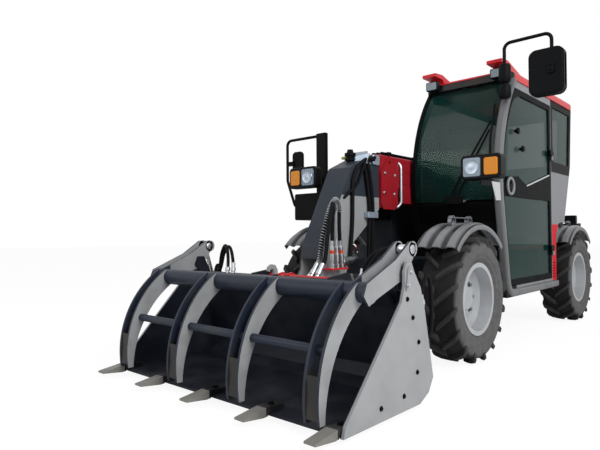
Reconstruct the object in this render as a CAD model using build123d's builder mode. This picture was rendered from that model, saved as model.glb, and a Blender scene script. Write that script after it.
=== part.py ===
"""Compact telehandler with an offset boom and a grapple bucket, in millimetres.

The frame is +X forward, +Y to the machine's left, +Z up, with the ground at Z = 0.
Side profiles are written as (distance ahead of the front axle, height).
"""
import os
from math import cos, hypot, radians, sin, sqrt

from build123d import *

os.makedirs("parts", exist_ok=True)

# Overall stance
WHEELBASE = 2405
REAR_OVERHANG = 595  # rear axle to the back of the counterweight
EDGE_X = 1756  # front axle to the bucket's cutting edge
TOOTH_REACH = 164  # cutting edge to the tooth tips
FRONT_REACH = EDGE_X + TOOTH_REACH
REAR_REACH = WHEELBASE + REAR_OVERHANG
FRONT_AXLE_X = (REAR_REACH - FRONT_REACH) / 2
HALF_TRACK = 625  # machine's centreline to a wheel's centre plane
MIRROR_REACH = 1150  # outermost point of either mirror

# Wheels, 18-inch rims
TYRE_R = 442.5  # out to the lug tips
CARCASS_R = 405  # across the carcass's flats, under the lugs
TYRE_SIDES = 16  # flats round the carcass, and lugs in each of its two rows
TYRE_HALF = 140  # half the section width
BEAD_R = 229
RIM_FLANGE_R = 250
RIM_HALF = 118
RIM_WALL = 9
HUB_R = 92
SPINDLE_R = 40
AXLE_Z = TYRE_R

# Axles, kingpins and mudguards
KINGPIN_Y = HALF_TRACK - 125
KINGPIN_R = 28
YOKE_GAP_HALF = 115  # half the height between the yoke's two arms
YOKE_ARM = 32
AXLE_BEAM_R = 65
TIE_ARM = 150  # kingpin to the track rod's ball, along X
TIE_BALL_Y = KINGPIN_Y - 35
TIE_DROP = 100  # axle centre down to the underside of the steering arms
TIE_ARM_T = 20
TIE_ROD_R = 14
FENDER_R = 500
FENDER_SHEET = 12
FENDER_INNER_Y = KINGPIN_Y - 43
FENDER_OUTER_Y = HALF_TRACK + TYRE_HALF
FENDER_LIP = 22  # turned down at the outer edge
FENDER_STRAP = 12
FENDER_HALF_ANGLE = 46

# Chassis
FRAME_HALF = 235
FRAME_TOP = 700
FRAME_BOTTOM = 590  # over the axles
BELLY_BOTTOM = 400
NOSE_X = 280

# Boom
BOOM_Y = 35 - FRAME_HALF
BOOM_Z = 1400
BOOM_PIVOT_X = -WHEELBASE - 195
BOOM_FRONT_X = -40
BOOM_HALF_W = 110
BOOM_HALF_H = 140
BOOM_WALL = 10
INNER_HALF_W = 92
INNER_HALF_H = 120
INNER_WALL = 10
INNER_REAR_X = BOOM_PIVOT_X + 500
SLIDE_GAP = 0.3  # wear pads to the inner tube
HINGE_GAP = 0.5  # a hinge barrel to the panels that it stands on
EAR_GAP = 8
EAR_T = 16
BOOM_PIN_R = 38
PIN_GAP = 0.4

# Cylinders: pin centres at rest, as (ahead of the front axle, height)
LIFT_BASE = (BOOM_PIVOT_X + 320, 800)
LIFT_PIN = (BOOM_PIVOT_X + 1250, 1150)
TILT_BASE = (40, 1080)
HITCH_PIVOT = (780, 380)
TILT_PIN = (780, 530)
GRAPPLE_BASE = (965, 300)
GRAPPLE_PIN = (1130, 815)
GRAPPLE_PIVOT = (1218, 705)

# Bucket and grapple
BUCKET_HALF = 920
BUCKET_SIDE_T = 20
BUCKET_SHELL_T = 12
ARM_OUTER_Y = 886  # outer face of the grapple's outer arm plates
ARM_PLATE_T = 15
ARM_GAP = 68  # between the two plates of an arm
TOP_TUBE = (1500, 620)
TOP_TUBE_R = 50
MID_TUBE = (1715, 375)
MID_TUBE_R = 22
TINE_Y = (-780, -260, 260, 780)
TINE_HALF = 47.5  # centre to the outer face of a tine's plates
TINE_PLATE_T = 15
TOOTH_Y = (-866, -433, 0, 433, 866)

# Cab
CAB_LEFT = 690
CAB_RIGHT = BOOM_Y + BOOM_HALF_W + 30
CAB_WALL = 40
CAB_RIGHT_WALL = 30
SILL_Z = 385
ROOF_Z = 2150
DOOR_GAP = 6
DOOR_REAR_X = 665 - WHEELBASE
DOOR_BOTTOM_Z = 470
DOOR_TOP_Z = 2090
DOOR_STILE = 45
GLASS_T = 8

# Engine side
HOOD_OUTER_Y = -745
HOOD_INNER_Y = BOOM_Y - BOOM_HALF_W - 40
HOOD_TOP_Z = 1220
HOOD_SPLIT_Z = 720
HOOD_FRONT_X = -600
HOOD_REAR_X = 555 - WHEELBASE
PANEL_T = 15


def side_plane(y):
    """A plane seen from the machine's right, local x forward, local y up; it extrudes to the right."""
    return Plane(origin=(FRONT_AXLE_X, y, 0), x_dir=(1, 0, 0), z_dir=(0, -1, 0))


def front_plane(x):
    """A plane across the machine, local x to the left, local y up; it extrudes forward."""
    return Plane(origin=(FRONT_AXLE_X + x, 0, 0), x_dir=(0, 1, 0), z_dir=(1, 0, 0))


def top_plane(z):
    """A level plane, local x ahead of the front axle, local y to the left; it extrudes up."""
    return Plane(origin=(FRONT_AXLE_X, 0, z))


def plate(points, y_low, y_high, mode=Mode.ADD):
    """A flat plate of a straight-sided side profile between two Y faces."""
    with BuildSketch(side_plane(y_high)) as profile:
        with BuildLine():
            Polyline(*points, close=True)
        make_face()
    extrude(profile.sketch, amount=y_high - y_low, mode=mode)


def disc(centre, radius, y_low, y_high, mode=Mode.ADD):
    """A round bar across the machine between two Y faces."""
    with BuildSketch(side_plane(y_high)) as profile:
        with Locations(centre):
            Circle(radius)
    extrude(profile.sketch, amount=y_high - y_low, mode=mode)


def block(x_low, x_high, y_low, y_high, z_low, z_high, mode=Mode.ADD):
    """A block between two planes each way, X measured from the front axle."""
    with BuildSketch(top_plane(z_low)) as profile:
        with Locations(((x_low + x_high) / 2, (y_low + y_high) / 2)):
            Rectangle(x_high - x_low, y_high - y_low)
    extrude(profile.sketch, amount=z_high - z_low, mode=mode)


def post(x, y, z_low, z_high, radius, mode=Mode.ADD):
    """An upright round bar."""
    with BuildSketch(top_plane(z_low)) as profile:
        with Locations((x, y)):
            Circle(radius)
    extrude(profile.sketch, amount=z_high - z_low, mode=mode)


def link_plane(base, pin, y, along):
    """A plane square to a cylinder's axis, a distance along it from the base pin."""
    run = hypot(pin[0] - base[0], pin[1] - base[1])
    dx, dz = (pin[0] - base[0]) / run, (pin[1] - base[1]) / run
    return Plane(
        origin=(FRONT_AXLE_X + base[0] + dx * along, y, base[1] + dz * along),
        x_dir=(0, 1, 0),
        z_dir=(dx, 0, dz),
    )


def finish(piece, name):
    """Labels a finished piece and writes it."""
    piece.part.label = name
    export_step(piece.part, f"parts/{name}.step")


# Chassis: a narrow spine over both axles with a deep belly between them
FRAME_REAR_X = BOOM_PIVOT_X - 50
BELLY_FRONT_X = -560
BELLY_REAR_X = 565 - WHEELBASE
with BuildPart() as chassis_frame:
    plate(
        [
            (FRAME_REAR_X, FRAME_BOTTOM),
            (BELLY_REAR_X - 90, FRAME_BOTTOM),
            (BELLY_REAR_X, BELLY_BOTTOM),
            (BELLY_FRONT_X, BELLY_BOTTOM),
            (BELLY_FRONT_X + 90, FRAME_BOTTOM),
            (NOSE_X - 60, FRAME_BOTTOM),
            (NOSE_X, FRAME_BOTTOM + 40),
            (NOSE_X, FRAME_TOP),
            (FRAME_REAR_X, FRAME_TOP),
        ],
        -FRAME_HALF,
        FRAME_HALF,
    )
    for side in (-1, 1):
        inner, outer = sorted((BOOM_Y + side * 31, BOOM_Y + side * 47))
        plate(
            [
                (LIFT_BASE[0] - 65, FRAME_TOP), (LIFT_BASE[0] - 45, 815), (LIFT_BASE[0] - 20, 850),
                (LIFT_BASE[0] + 20, 850), (LIFT_BASE[0] + 50, 815), (LIFT_BASE[0] + 100, FRAME_TOP),
            ],
            inner,
            outer,
        )
finish(chassis_frame, "chassis_frame")

# Boom tower: a box on the spine that carries two ears and the boom's pivot pin
TOWER_FRONT_X = BOOM_PIVOT_X + 250
TOWER_SHELF_Z = 1010
TOWER_SHELF_T = 20
EAR_IN = BOOM_HALF_W + EAR_GAP
EAR_OUT = EAR_IN + EAR_T
EAR_TOP_R = 85
with BuildPart() as boom_tower:
    block(FRAME_REAR_X, TOWER_FRONT_X, -FRAME_HALF, FRAME_HALF, FRAME_TOP, TOWER_SHELF_Z)
    block(
        FRAME_REAR_X - 60, TOWER_FRONT_X, BOOM_Y - EAR_OUT, FRAME_HALF,
        TOWER_SHELF_Z, TOWER_SHELF_Z + TOWER_SHELF_T,
    )
    for inner, outer in ((BOOM_Y - EAR_OUT, BOOM_Y - EAR_IN), (BOOM_Y + EAR_IN, BOOM_Y + EAR_OUT)):
        plate(
            [
                (FRAME_REAR_X - 60, TOWER_SHELF_Z + TOWER_SHELF_T),
                (BOOM_PIVOT_X - EAR_TOP_R, BOOM_Z),
                (BOOM_PIVOT_X + EAR_TOP_R, BOOM_Z),
                (TOWER_FRONT_X, TOWER_SHELF_Z + TOWER_SHELF_T),
            ],
            inner,
            outer,
        )
        disc((BOOM_PIVOT_X, BOOM_Z), EAR_TOP_R, inner, outer)
    disc((BOOM_PIVOT_X, BOOM_Z), BOOM_PIN_R, BOOM_Y - EAR_OUT, BOOM_Y + EAR_OUT)
finish(boom_tower, "boom_tower")

# Counterweight: narrow between the rear wheels, full width behind them
BUMPER_T = 65
BUMPER_X = BUMPER_T - REAR_REACH
BUMPER_HALF = 620
TOW_SLOT_HALF = 80  # the slot that lets the tow pin drop in
COUNTER_TOP = 1000
with BuildPart() as counterweight:
    block(BUMPER_X, FRAME_REAR_X, -FRAME_HALF, FRAME_HALF, 545, TOWER_SHELF_Z)
    with BuildSketch(top_plane(545)):
        with Locations(((BUMPER_X - REAR_REACH) / 2, 0)):
            RectangleRounded(BUMPER_T, 2 * BUMPER_HALF, 28)
    extrude(amount=COUNTER_TOP - 545)
    block(-REAR_REACH, BUMPER_X, -TOW_SLOT_HALF, TOW_SLOT_HALF, 545, COUNTER_TOP, mode=Mode.SUBTRACT)
finish(counterweight, "counterweight")

# Tow hitch: a clevis under the counterweight with an upright pin hole
TOW_PIN_R = 16
with BuildPart() as tow_hitch:
    block(BUMPER_X + 25, BUMPER_X + 105, -70, 70, 400, 545)
    block(-REAR_REACH + 5, BUMPER_X + 25, -60, 60, 400, 430)
    block(-REAR_REACH + 5, BUMPER_X + 25, -60, 60, 490, 520)
    post(-REAR_REACH + 45, 0, 400, 520, TOW_PIN_R, mode=Mode.SUBTRACT)
finish(tow_hitch, "tow_hitch")

# Axles: beam, differential casing, pads to the spine and a yoke at each end
AXLES = {"front": 0, "rear": -WHEELBASE}  # name: distance ahead of the front axle
for axle_name, axle_x in AXLES.items():
    with BuildPart() as axle:
        disc((axle_x, AXLE_Z), AXLE_BEAM_R, 60 - KINGPIN_Y, KINGPIN_Y - 60)
        disc((axle_x, AXLE_Z), 135, -130, 70)
        for side in (-1, 1):
            pad_low, pad_high = sorted((side * 120, side * 215))
            block(axle_x - 75, axle_x + 75, pad_low, pad_high, AXLE_Z, FRAME_BOTTOM)
            web_low, web_high = sorted((side * (KINGPIN_Y - 95), side * (KINGPIN_Y - 56)))
            arm_low, arm_high = sorted((side * (KINGPIN_Y - 56), side * (KINGPIN_Y + 42)))
            yoke_top = AXLE_Z + YOKE_GAP_HALF + YOKE_ARM
            yoke_bottom = AXLE_Z - YOKE_GAP_HALF - YOKE_ARM
            block(axle_x - 34, axle_x + 34, web_low, web_high, yoke_bottom, yoke_top)
            block(axle_x - 42, axle_x + 42, arm_low, arm_high, AXLE_Z + YOKE_GAP_HALF, yoke_top)
            block(axle_x - 42, axle_x + 42, arm_low, arm_high, yoke_bottom, AXLE_Z - YOKE_GAP_HALF)
            post(axle_x, side * KINGPIN_Y, yoke_bottom, yoke_top, KINGPIN_R + PIN_GAP, mode=Mode.SUBTRACT)
    finish(axle, f"{axle_name}_axle")

    # Track rod: held under the two steering arms, behind the front axle and ahead of the rear one
    arm_way = -1 if axle_name == "front" else 1
    rod_x = axle_x + arm_way * TIE_ARM
    tie_z = AXLE_Z - TIE_DROP
    with BuildPart() as tie_rod:
        disc((rod_x, tie_z - 20), TIE_ROD_R, -TIE_BALL_Y, TIE_BALL_Y)
        for side in (-1, 1):
            post(rod_x, side * TIE_BALL_Y, tie_z - 38, tie_z - SLIDE_GAP, 20)
    finish(tie_rod, f"{axle_name}_tie_rod")

# Tyre form about the wheel's centre: flat-sided carcass sections as (distance out, radius across flats)
BEAD_OUT = RIM_HALF - 10 - SLIDE_GAP
CARCASS = (
    (-BEAD_OUT, RIM_FLANGE_R + 4), (-TYRE_HALF, 335), (28 - TYRE_HALF, CARCASS_R),
    (TYRE_HALF - 28, CARCASS_R), (TYRE_HALF, 335), (BEAD_OUT, RIM_FLANGE_R + 4),
)
# A lug's two ends: share of its sweep, top's distance out and radius, base's distance out and radius
LUG_ENDS = ((0, 4, TYRE_R, 4, CARCASS_R - 9), (1, TYRE_HALF - 14, TYRE_R - 7, TYRE_HALF - 2, 364))
LUG_HALF = 15
LUG_SWEEP = 18  # degrees from crown to shoulder


def lug(way, turn):
    """A bar lug from the crown out to one shoulder, as flat triangles between its two end faces."""
    rings = []
    for share, top_out, top_r, base_out, base_r in LUG_ENDS:
        edges = ((top_out, top_r, 1), (top_out, top_r, -1), (base_out, base_r, -1), (base_out, base_r, 1))
        ring = []
        for out, radius, edge in edges:
            angle = radians(turn + share * LUG_SWEEP) + edge * LUG_HALF / radius
            ring.append(Vector(radius * cos(angle), way * out, radius * sin(angle)))
        rings.append(ring)
    outlines = list(rings)
    crown, shoulder = rings
    for k in range(4):
        outlines.append((crown[k - 1], crown[k], shoulder[k]))
        outlines.append((crown[k - 1], shoulder[k], shoulder[k - 1]))
    return Solid(Shell([Face(Wire.make_polygon(outline)) for outline in outlines]))


with BuildPart() as tyre_form:
    wheel_plane = Plane(origin=(0, 0, 0), x_dir=(1, 0, 0), z_dir=(0, 1, 0))
    for out, radius in CARCASS:
        with BuildSketch(wheel_plane.offset(out)):
            RegularPolygon(radius, TYRE_SIDES, major_radius=False)
    loft(ruled=True)
    with BuildSketch(wheel_plane.offset(-TYRE_HALF)):
        RegularPolygon(BEAD_R, TYRE_SIDES, major_radius=False)
    extrude(amount=2 * TYRE_HALF, mode=Mode.SUBTRACT)
    pitch = 360 / TYRE_SIDES
    for way, stagger in ((1, 0), (-1, 0.5)):
        add([lug(way, (row + stagger) * pitch) for row in range(TYRE_SIDES)])

# Corners: knuckle, mudguard, rim and tyre; columns are name, axle and side
FENDER_RIBS = 3
FENDER_RIB_STEP = (FENDER_OUTER_Y - FENDER_INNER_Y) / FENDER_RIBS
FENDER_RIB = ((-34, 0), (-22, 12), (22, 12), (34, 0))  # across from the rib's middle, and up
FENDER_BAR_RISE = 66  # arch to the top of the bar
CORNERS = (("fl", "front", 1), ("fr", "front", -1), ("rl", "rear", 1), ("rr", "rear", -1))
for corner, axle_name, side in CORNERS:
    wheel_x = AXLES[axle_name]
    arm_way = -1 if axle_name == "front" else 1
    hub_plane = Plane(origin=(FRONT_AXLE_X + wheel_x, 0, AXLE_Z), x_dir=(1, 0, 0), z_dir=(0, side, 0))

    with BuildPart() as knuckle:
        post(wheel_x, side * KINGPIN_Y, AXLE_Z - YOKE_GAP_HALF - YOKE_ARM - 12, 612, KINGPIN_R)
        post(
            wheel_x, side * KINGPIN_Y, AXLE_Z - YOKE_GAP_HALF + SLIDE_GAP,
            AXLE_Z + YOKE_GAP_HALF - SLIDE_GAP, 48,
        )
        with BuildSketch(hub_plane.offset(KINGPIN_Y)):
            Circle(SPINDLE_R)
        extrude(amount=HALF_TRACK + 10 - KINGPIN_Y)
        ball_x = wheel_x + arm_way * TIE_ARM
        with BuildSketch(top_plane(AXLE_Z - TIE_DROP)):
            with BuildLine():
                Polyline(
                    (wheel_x, side * (KINGPIN_Y + 24)), (ball_x, side * (TIE_BALL_Y + 18)),
                    (ball_x, side * (TIE_BALL_Y - 18)), (wheel_x, side * (KINGPIN_Y - 10)), close=True,
                )
            make_face()
            with Locations((ball_x, side * TIE_BALL_Y)):
                Circle(20)
        extrude(amount=TIE_ARM_T)
    finish(knuckle, f"knuckle_{corner}")

    with BuildPart() as fender:
        with BuildSketch(Plane(origin=hub_plane.origin, x_dir=(0, side, 0), z_dir=(side, 0, 0))) as section:
            with BuildLine():
                top = FENDER_R + FENDER_SHEET
                ribs = [
                    (FENDER_INNER_Y + FENDER_RIB_STEP * (row + 0.5) + offset, top + rise)
                    for row in range(FENDER_RIBS)
                    for offset, rise in FENDER_RIB
                ]
                Polyline(
                    (FENDER_INNER_Y, FENDER_R), (FENDER_INNER_Y, top), *ribs, (FENDER_OUTER_Y, top),
                    (FENDER_OUTER_Y, FENDER_R - FENDER_LIP),
                    (FENDER_OUTER_Y - FENDER_SHEET, FENDER_R - FENDER_LIP),
                    (FENDER_OUTER_Y - FENDER_SHEET, FENDER_R), close=True,
                )
            make_face()
        arch_axis = Axis((FRONT_AXLE_X + wheel_x, 0, AXLE_Z), (0, 1, 0))
        for way in (-1, 1):
            revolve(section.sketch, axis=arch_axis, revolution_arc=way * FENDER_HALF_ANGLE)
        inner = FENDER_INNER_Y - FENDER_STRAP
        foot_low, foot_high = sorted((side * inner, side * (KINGPIN_Y + 30)))
        rise_low, rise_high = sorted((side * inner, side * FENDER_INNER_Y))
        block(wheel_x - 40, wheel_x + 40, foot_low, foot_high, 612, 624)
        block(wheel_x - 40, wheel_x + 40, rise_low, rise_high, 612, AXLE_Z + FENDER_R + FENDER_SHEET)
        bar_y = side * (FENDER_INNER_Y + FENDER_RIB_STEP * FENDER_RIBS / 2)
        bar_top = AXLE_Z + FENDER_R + FENDER_BAR_RISE
        block(wheel_x - 165, wheel_x + 165, bar_y - 16, bar_y + 16, bar_top - 8, bar_top)
        for leg_x in (wheel_x - 130, wheel_x + 130):
            block(leg_x - 6, leg_x + 6, bar_y - 16, bar_y + 16, AXLE_Z + FENDER_R - 15, bar_top - 8)
    finish(fender, f"fender_{corner}")

    with BuildPart() as rim:
        with BuildSketch(Plane(origin=hub_plane.origin, x_dir=(0, side, 0), z_dir=(side, 0, 0))):
            with BuildLine():
                low, high = HALF_TRACK - RIM_HALF, HALF_TRACK + RIM_HALF
                dish, floor_r = HALF_TRACK - 10, BEAD_R - RIM_WALL
                Polyline(
                    (low, BEAD_R - RIM_WALL), (low, RIM_FLANGE_R), (low + 8, RIM_FLANGE_R),
                    (low + 10, BEAD_R), (high - 10, BEAD_R), (high - 8, RIM_FLANGE_R),
                    (high, RIM_FLANGE_R), (high, floor_r), (dish + 40, floor_r - 6),
                    (dish + 12, floor_r - 40), (dish + 12, HUB_R), (dish + 45, HUB_R - 14),
                    (dish + 45, 0), (dish + 30, 0), (dish + 30, SPINDLE_R + PIN_GAP),
                    (dish - 40, SPINDLE_R + PIN_GAP), (dish - 40, HUB_R - 10), (dish, HUB_R),
                    (dish, floor_r - 46), (dish + 24, floor_r - RIM_WALL), close=True,
                )
            make_face()
        revolve(axis=Axis((FRONT_AXLE_X + wheel_x, 0, AXLE_Z), (0, 1, 0)))
    finish(rim, f"rim_{corner}")

    with BuildPart() as tyre:
        with Locations((FRONT_AXLE_X + wheel_x, side * HALF_TRACK, AXLE_Z)):
            add(tyre_form.part)
    finish(tyre, f"tyre_{corner}")

# Outer boom: a box tube with a bored pivot, lift lugs below and a bolted collar at its mouth
COLLAR_T = 60
COLLAR_DROP = 150  # the collar's plate hangs below the tube
MOUTH_PLATE_T = 14
with BuildPart() as boom_outer:
    with BuildSketch(front_plane(BOOM_PIVOT_X - 80)):
        with Locations((BOOM_Y, BOOM_Z)):
            RectangleRounded(2 * BOOM_HALF_W, 2 * BOOM_HALF_H, 24)
    extrude(amount=BOOM_FRONT_X - BOOM_PIVOT_X + 80)
    with BuildSketch(front_plane(INNER_REAR_X - 60)):
        with Locations((BOOM_Y, BOOM_Z)):
            Rectangle(2 * (BOOM_HALF_W - BOOM_WALL), 2 * (BOOM_HALF_H - BOOM_WALL))
    extrude(amount=BOOM_FRONT_X - COLLAR_T - INNER_REAR_X + 60, mode=Mode.SUBTRACT)
    plate(
        [
            (BOOM_FRONT_X - COLLAR_T, BOOM_Z), (BOOM_FRONT_X - COLLAR_T, BOOM_Z - BOOM_HALF_H - COLLAR_DROP),
            (BOOM_FRONT_X, BOOM_Z - BOOM_HALF_H - COLLAR_DROP), (BOOM_FRONT_X, BOOM_Z),
        ],
        BOOM_Y - BOOM_HALF_W,
        BOOM_Y + BOOM_HALF_W,
    )
    with BuildSketch(front_plane(BOOM_FRONT_X - COLLAR_T)):
        with Locations((BOOM_Y, BOOM_Z)):
            Rectangle(2 * (INNER_HALF_W + SLIDE_GAP), 2 * (INNER_HALF_H + SLIDE_GAP))
    extrude(amount=COLLAR_T, mode=Mode.SUBTRACT)
    disc(
        (BOOM_PIVOT_X, BOOM_Z), BOOM_PIN_R + PIN_GAP,
        BOOM_Y - BOOM_HALF_W, BOOM_Y + BOOM_HALF_W, mode=Mode.SUBTRACT,
    )
    for side in (-1, 1):
        lug_low, lug_high = sorted((BOOM_Y + side * 31, BOOM_Y + side * 47))
        plate(
            [
                (LIFT_PIN[0] - 150, BOOM_Z - BOOM_HALF_H), (LIFT_PIN[0] - 40, LIFT_PIN[1] - 40),
                (LIFT_PIN[0] + 40, LIFT_PIN[1] - 40), (LIFT_PIN[0] + 150, BOOM_Z - BOOM_HALF_H),
            ],
            lug_low,
            lug_high,
        )
    plate(
        [
            (BOOM_FRONT_X, 1137), (BOOM_FRONT_X - 35, 1095), (BOOM_FRONT_X - 210, 1095),
            (BOOM_FRONT_X - 250, 1137), (BOOM_FRONT_X - 250, 1400), (BOOM_FRONT_X - 150, 1515),
            (BOOM_FRONT_X - 100, 1515), (BOOM_FRONT_X, 1390),
        ],
        BOOM_Y + BOOM_HALF_W,
        BOOM_Y + BOOM_HALF_W + MOUTH_PLATE_T,
    )
    disc(
        (BOOM_FRONT_X - 125, 1478), 14, BOOM_Y + BOOM_HALF_W, BOOM_Y + BOOM_HALF_W + MOUTH_PLATE_T,
        mode=Mode.SUBTRACT,
    )
finish(boom_outer, "boom_outer")

# Inner boom: the telescoping tube and its gooseneck head of two side plates and a front plate
HEAD_T = 15
PLATE_IN = INNER_HALF_W
PLATE_OUT = INNER_HALF_W + HEAD_T
HEAD_TUBE_R = 58
HEAD_REAR_X = BOOM_FRONT_X + 10
HITCH_HALF = PLATE_OUT - BOOM_Y + 3
HEAD_TUBE_Y = (-HITCH_HALF, HITCH_HALF - 50)
HEAD_PROFILE = [
    (HEAD_REAR_X, BOOM_Z + INNER_HALF_H), (60, BOOM_Z + INNER_HALF_H), (340, 1400), (660, 805), (690, 640),
    (840, 420), (840, 340), (780, 310), (700, 330), (450, 500), (320, 830), (HEAD_REAR_X, 1090),
]
with BuildPart() as boom_inner:
    with BuildSketch(front_plane(INNER_REAR_X)):
        with Locations((BOOM_Y, BOOM_Z)):
            Rectangle(2 * INNER_HALF_W, 2 * INNER_HALF_H)
            Rectangle(
                2 * (INNER_HALF_W - INNER_WALL), 2 * (INNER_HALF_H - INNER_WALL), mode=Mode.SUBTRACT
            )
    extrude(amount=60 - INNER_REAR_X)
    for side in (-1, 1):
        low, high = sorted((BOOM_Y + side * PLATE_IN, BOOM_Y + side * PLATE_OUT))
        plate(HEAD_PROFILE, low, high)
    plate(
        [(60, BOOM_Z + INNER_HALF_H), (340, 1400), (660, 805), (675, 720), (660, 720), (645, 802),
         (331, 1387), (60, BOOM_Z + INNER_HALF_H - 12)],
        BOOM_Y - PLATE_IN,
        BOOM_Y + PLATE_IN,
    )
    plate(
        [(52, BOOM_Z + INNER_HALF_H - 5), (52, 1556), (64, 1556), (130, 1494), (118, 1488)],
        BOOM_Y - PLATE_IN - 5,
        BOOM_Y + 60,
    )
    disc(HITCH_PIVOT, HEAD_TUBE_R, *HEAD_TUBE_Y)
    for side in (-1, 1):
        low, high = sorted((BOOM_Y + side * 31, BOOM_Y + side * PLATE_IN))
        disc(TILT_BASE, 30, low, high)
finish(boom_inner, "boom_inner")

# Cylinders; columns are name, base pin, rod pin, Y places, barrel radius, rod radius, eye radius,
# half the eye's width, end of the barrel, start of the rod and start of the bore along the axis
CYLINDERS = (
    ("lift", LIFT_BASE, LIFT_PIN, (BOOM_Y,), 52, 30, 45, 30.5, 850, 140, 90),
    ("tilt", TILT_BASE, TILT_PIN, (BOOM_Y,), 45, 25, 34, 30.5, 660, 350, 230),
    ("grapple", GRAPPLE_BASE, GRAPPLE_PIN, (-837, 837), 25, 15, 25, 30, 290, 215, 30),
)
for name, base, pin, places, barrel_r, rod_r, eye_r, eye_half, barrel_end, rod_start, bore_start in CYLINDERS:
    length = hypot(pin[0] - base[0], pin[1] - base[1])
    with BuildPart() as barrel:
        for y in places:
            disc(base, eye_r, y - eye_half, y + eye_half)
            with BuildSketch(link_plane(base, pin, y, 0)):
                Circle(barrel_r)
            extrude(amount=barrel_end)
            disc(base, eye_r + 40, y + eye_half, y + eye_half + barrel_r, mode=Mode.SUBTRACT)
            disc(base, eye_r + 40, y - eye_half - barrel_r, y - eye_half, mode=Mode.SUBTRACT)
            with BuildSketch(link_plane(base, pin, y, bore_start)):
                Circle(rod_r + PIN_GAP)
            extrude(amount=barrel_end - bore_start, mode=Mode.SUBTRACT)
    finish(barrel, f"{name}_barrel")
    with BuildPart() as rod:
        for y in places:
            with BuildSketch(link_plane(base, pin, y, rod_start)):
                Circle(rod_r)
            extrude(amount=length - rod_start)
            disc(pin, eye_r, y - eye_half, y + eye_half)
    finish(rod, f"{name}_rod")

# Quick hitch: two side plates, two cross tubes, pivot ears and a pair of tilt lugs
HITCH_TOP = (955, 600)
HITCH_FOOT = (925, 235)
with BuildPart() as hitch:
    for side in (-1, 1):
        low, high = sorted((side * (HITCH_HALF - 18), side * HITCH_HALF))
        plate([(895, 215), (955, 205), (985, 300), (990, 630), (925, 640), (905, 500)], low, high)
    for centre in (HITCH_TOP, HITCH_FOOT):
        disc(centre, 28, -HITCH_HALF - 18, HITCH_HALF)
    for inner, outer in ((-HITCH_HALF - 18, -HITCH_HALF), (HEAD_TUBE_Y[1], HEAD_TUBE_Y[1] + 18)):
        low, high = inner, outer
        gap = SLIDE_GAP if inner > 0 else -SLIDE_GAP
        plate(
            [(735, 345), (780, 325), (955, 205), (985, 300), (990, 560), (935, 560), (760, 440), (735, 415)],
            low + gap,
            high + gap,
        )
    for side in (-1, 1):
        low, high = sorted((BOOM_Y + side * 31.5, BOOM_Y + side * 47))
        plate(
            [(905, 225), (955, 225), (990, 420), (990, 630), (925, 640), (790, 575), (752, 552), (747, 520),
             (770, 495), (880, 480)],
            low,
            high,
        )
finish(hitch, "hitch")

# Bucket: a bent shell, two side plates with raised pivot horns, inner horns and pivot pins
SHELL = [(EDGE_X, 40), (1129, 40), (1040, 80), (1000, 145), (1080, 490), (1125, 630)]
SIDE_PROFILE = [
    (EDGE_X + 6, 27), (EDGE_X - 9, 75), (1290, 560), (1262, 640), (1262, 705), (1240, 752), (1195, 752),
    (1172, 705), (1108, 620), (1066, 490), (986, 140), (1034, 68), (1126, 27),
]
SIDE_IN = BUCKET_HALF - BUCKET_SIDE_T
HORN_IN = ARM_OUTER_Y - 2 * ARM_PLATE_T - ARM_GAP - 6
GRAPPLE_PIN_R = 20
NOTCH_X = (1080, 1170)  # cut in the shell's top edge for the open grapple's arms
NOTCH_Z = (595, 660)
KEEPER_R = 27
KEEPER_T = 10
HOOK_Y = -130
with BuildPart() as bucket:
    with BuildSketch(side_plane(SIDE_IN)):
        with BuildLine():
            Polyline(*SHELL)
            offset(amount=BUCKET_SHELL_T, side=Side.LEFT)
        make_face()
    extrude(amount=2 * SIDE_IN)
    for side in (-1, 1):
        low, high = sorted((side * (HORN_IN + 1), side * (SIDE_IN - 1)))
        block(*NOTCH_X, low, high, *NOTCH_Z, mode=Mode.SUBTRACT)
        low, high = sorted((side * SIDE_IN, side * BUCKET_HALF))
        plate(SIDE_PROFILE, low, high)
        low, high = sorted((side * (HORN_IN - BUCKET_SIDE_T), side * HORN_IN))
        plate([(1100, 560), (1130, 520), (1160, 560), (1262, 690), (1240, 745), (1195, 745)], low, high)
        low, high = sorted((side * (HORN_IN - BUCKET_SIDE_T), side * SIDE_IN))
        disc(GRAPPLE_PIVOT, GRAPPLE_PIN_R, low, high)
        low, high = sorted((side * BUCKET_HALF, side * (BUCKET_HALF + KEEPER_T)))
        keeper_x, keeper_z = GRAPPLE_PIVOT
        disc(GRAPPLE_PIVOT, KEEPER_R, low, high)
        plate(
            [(keeper_x - KEEPER_R, keeper_z), (keeper_x + KEEPER_R, keeper_z), (keeper_x + 42, keeper_z - 88),
             (keeper_x + 24, keeper_z - 88)],
            low,
            high,
        )
        for edge in (-1, 1):
            low, high = sorted((side * 837 + edge * 30.5, side * 837 + edge * 42))
            plate([(942, 275), (1010, 200), (1040, 350), (985, 330), (945, 325)], low, high)
        low, high = sorted((side * HITCH_HALF, side * (HITCH_HALF + 20)))
        if side < 0:
            low, high = low - 19, high - 19
        plate([(925, 560), (1085, 470), (1130, 600), (1120, 640), (940, 660)], low, high)
    plate(
        [(1096, 560), (1098, 668), (1118, 700), (1150, 706), (1178, 690), (1184, 664), (1172, 658),
         (1158, 676), (1138, 676), (1128, 652), (1124, 627)],
        HOOK_Y - 9,
        HOOK_Y + 9,
    )
finish(bucket, "bucket")

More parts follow.
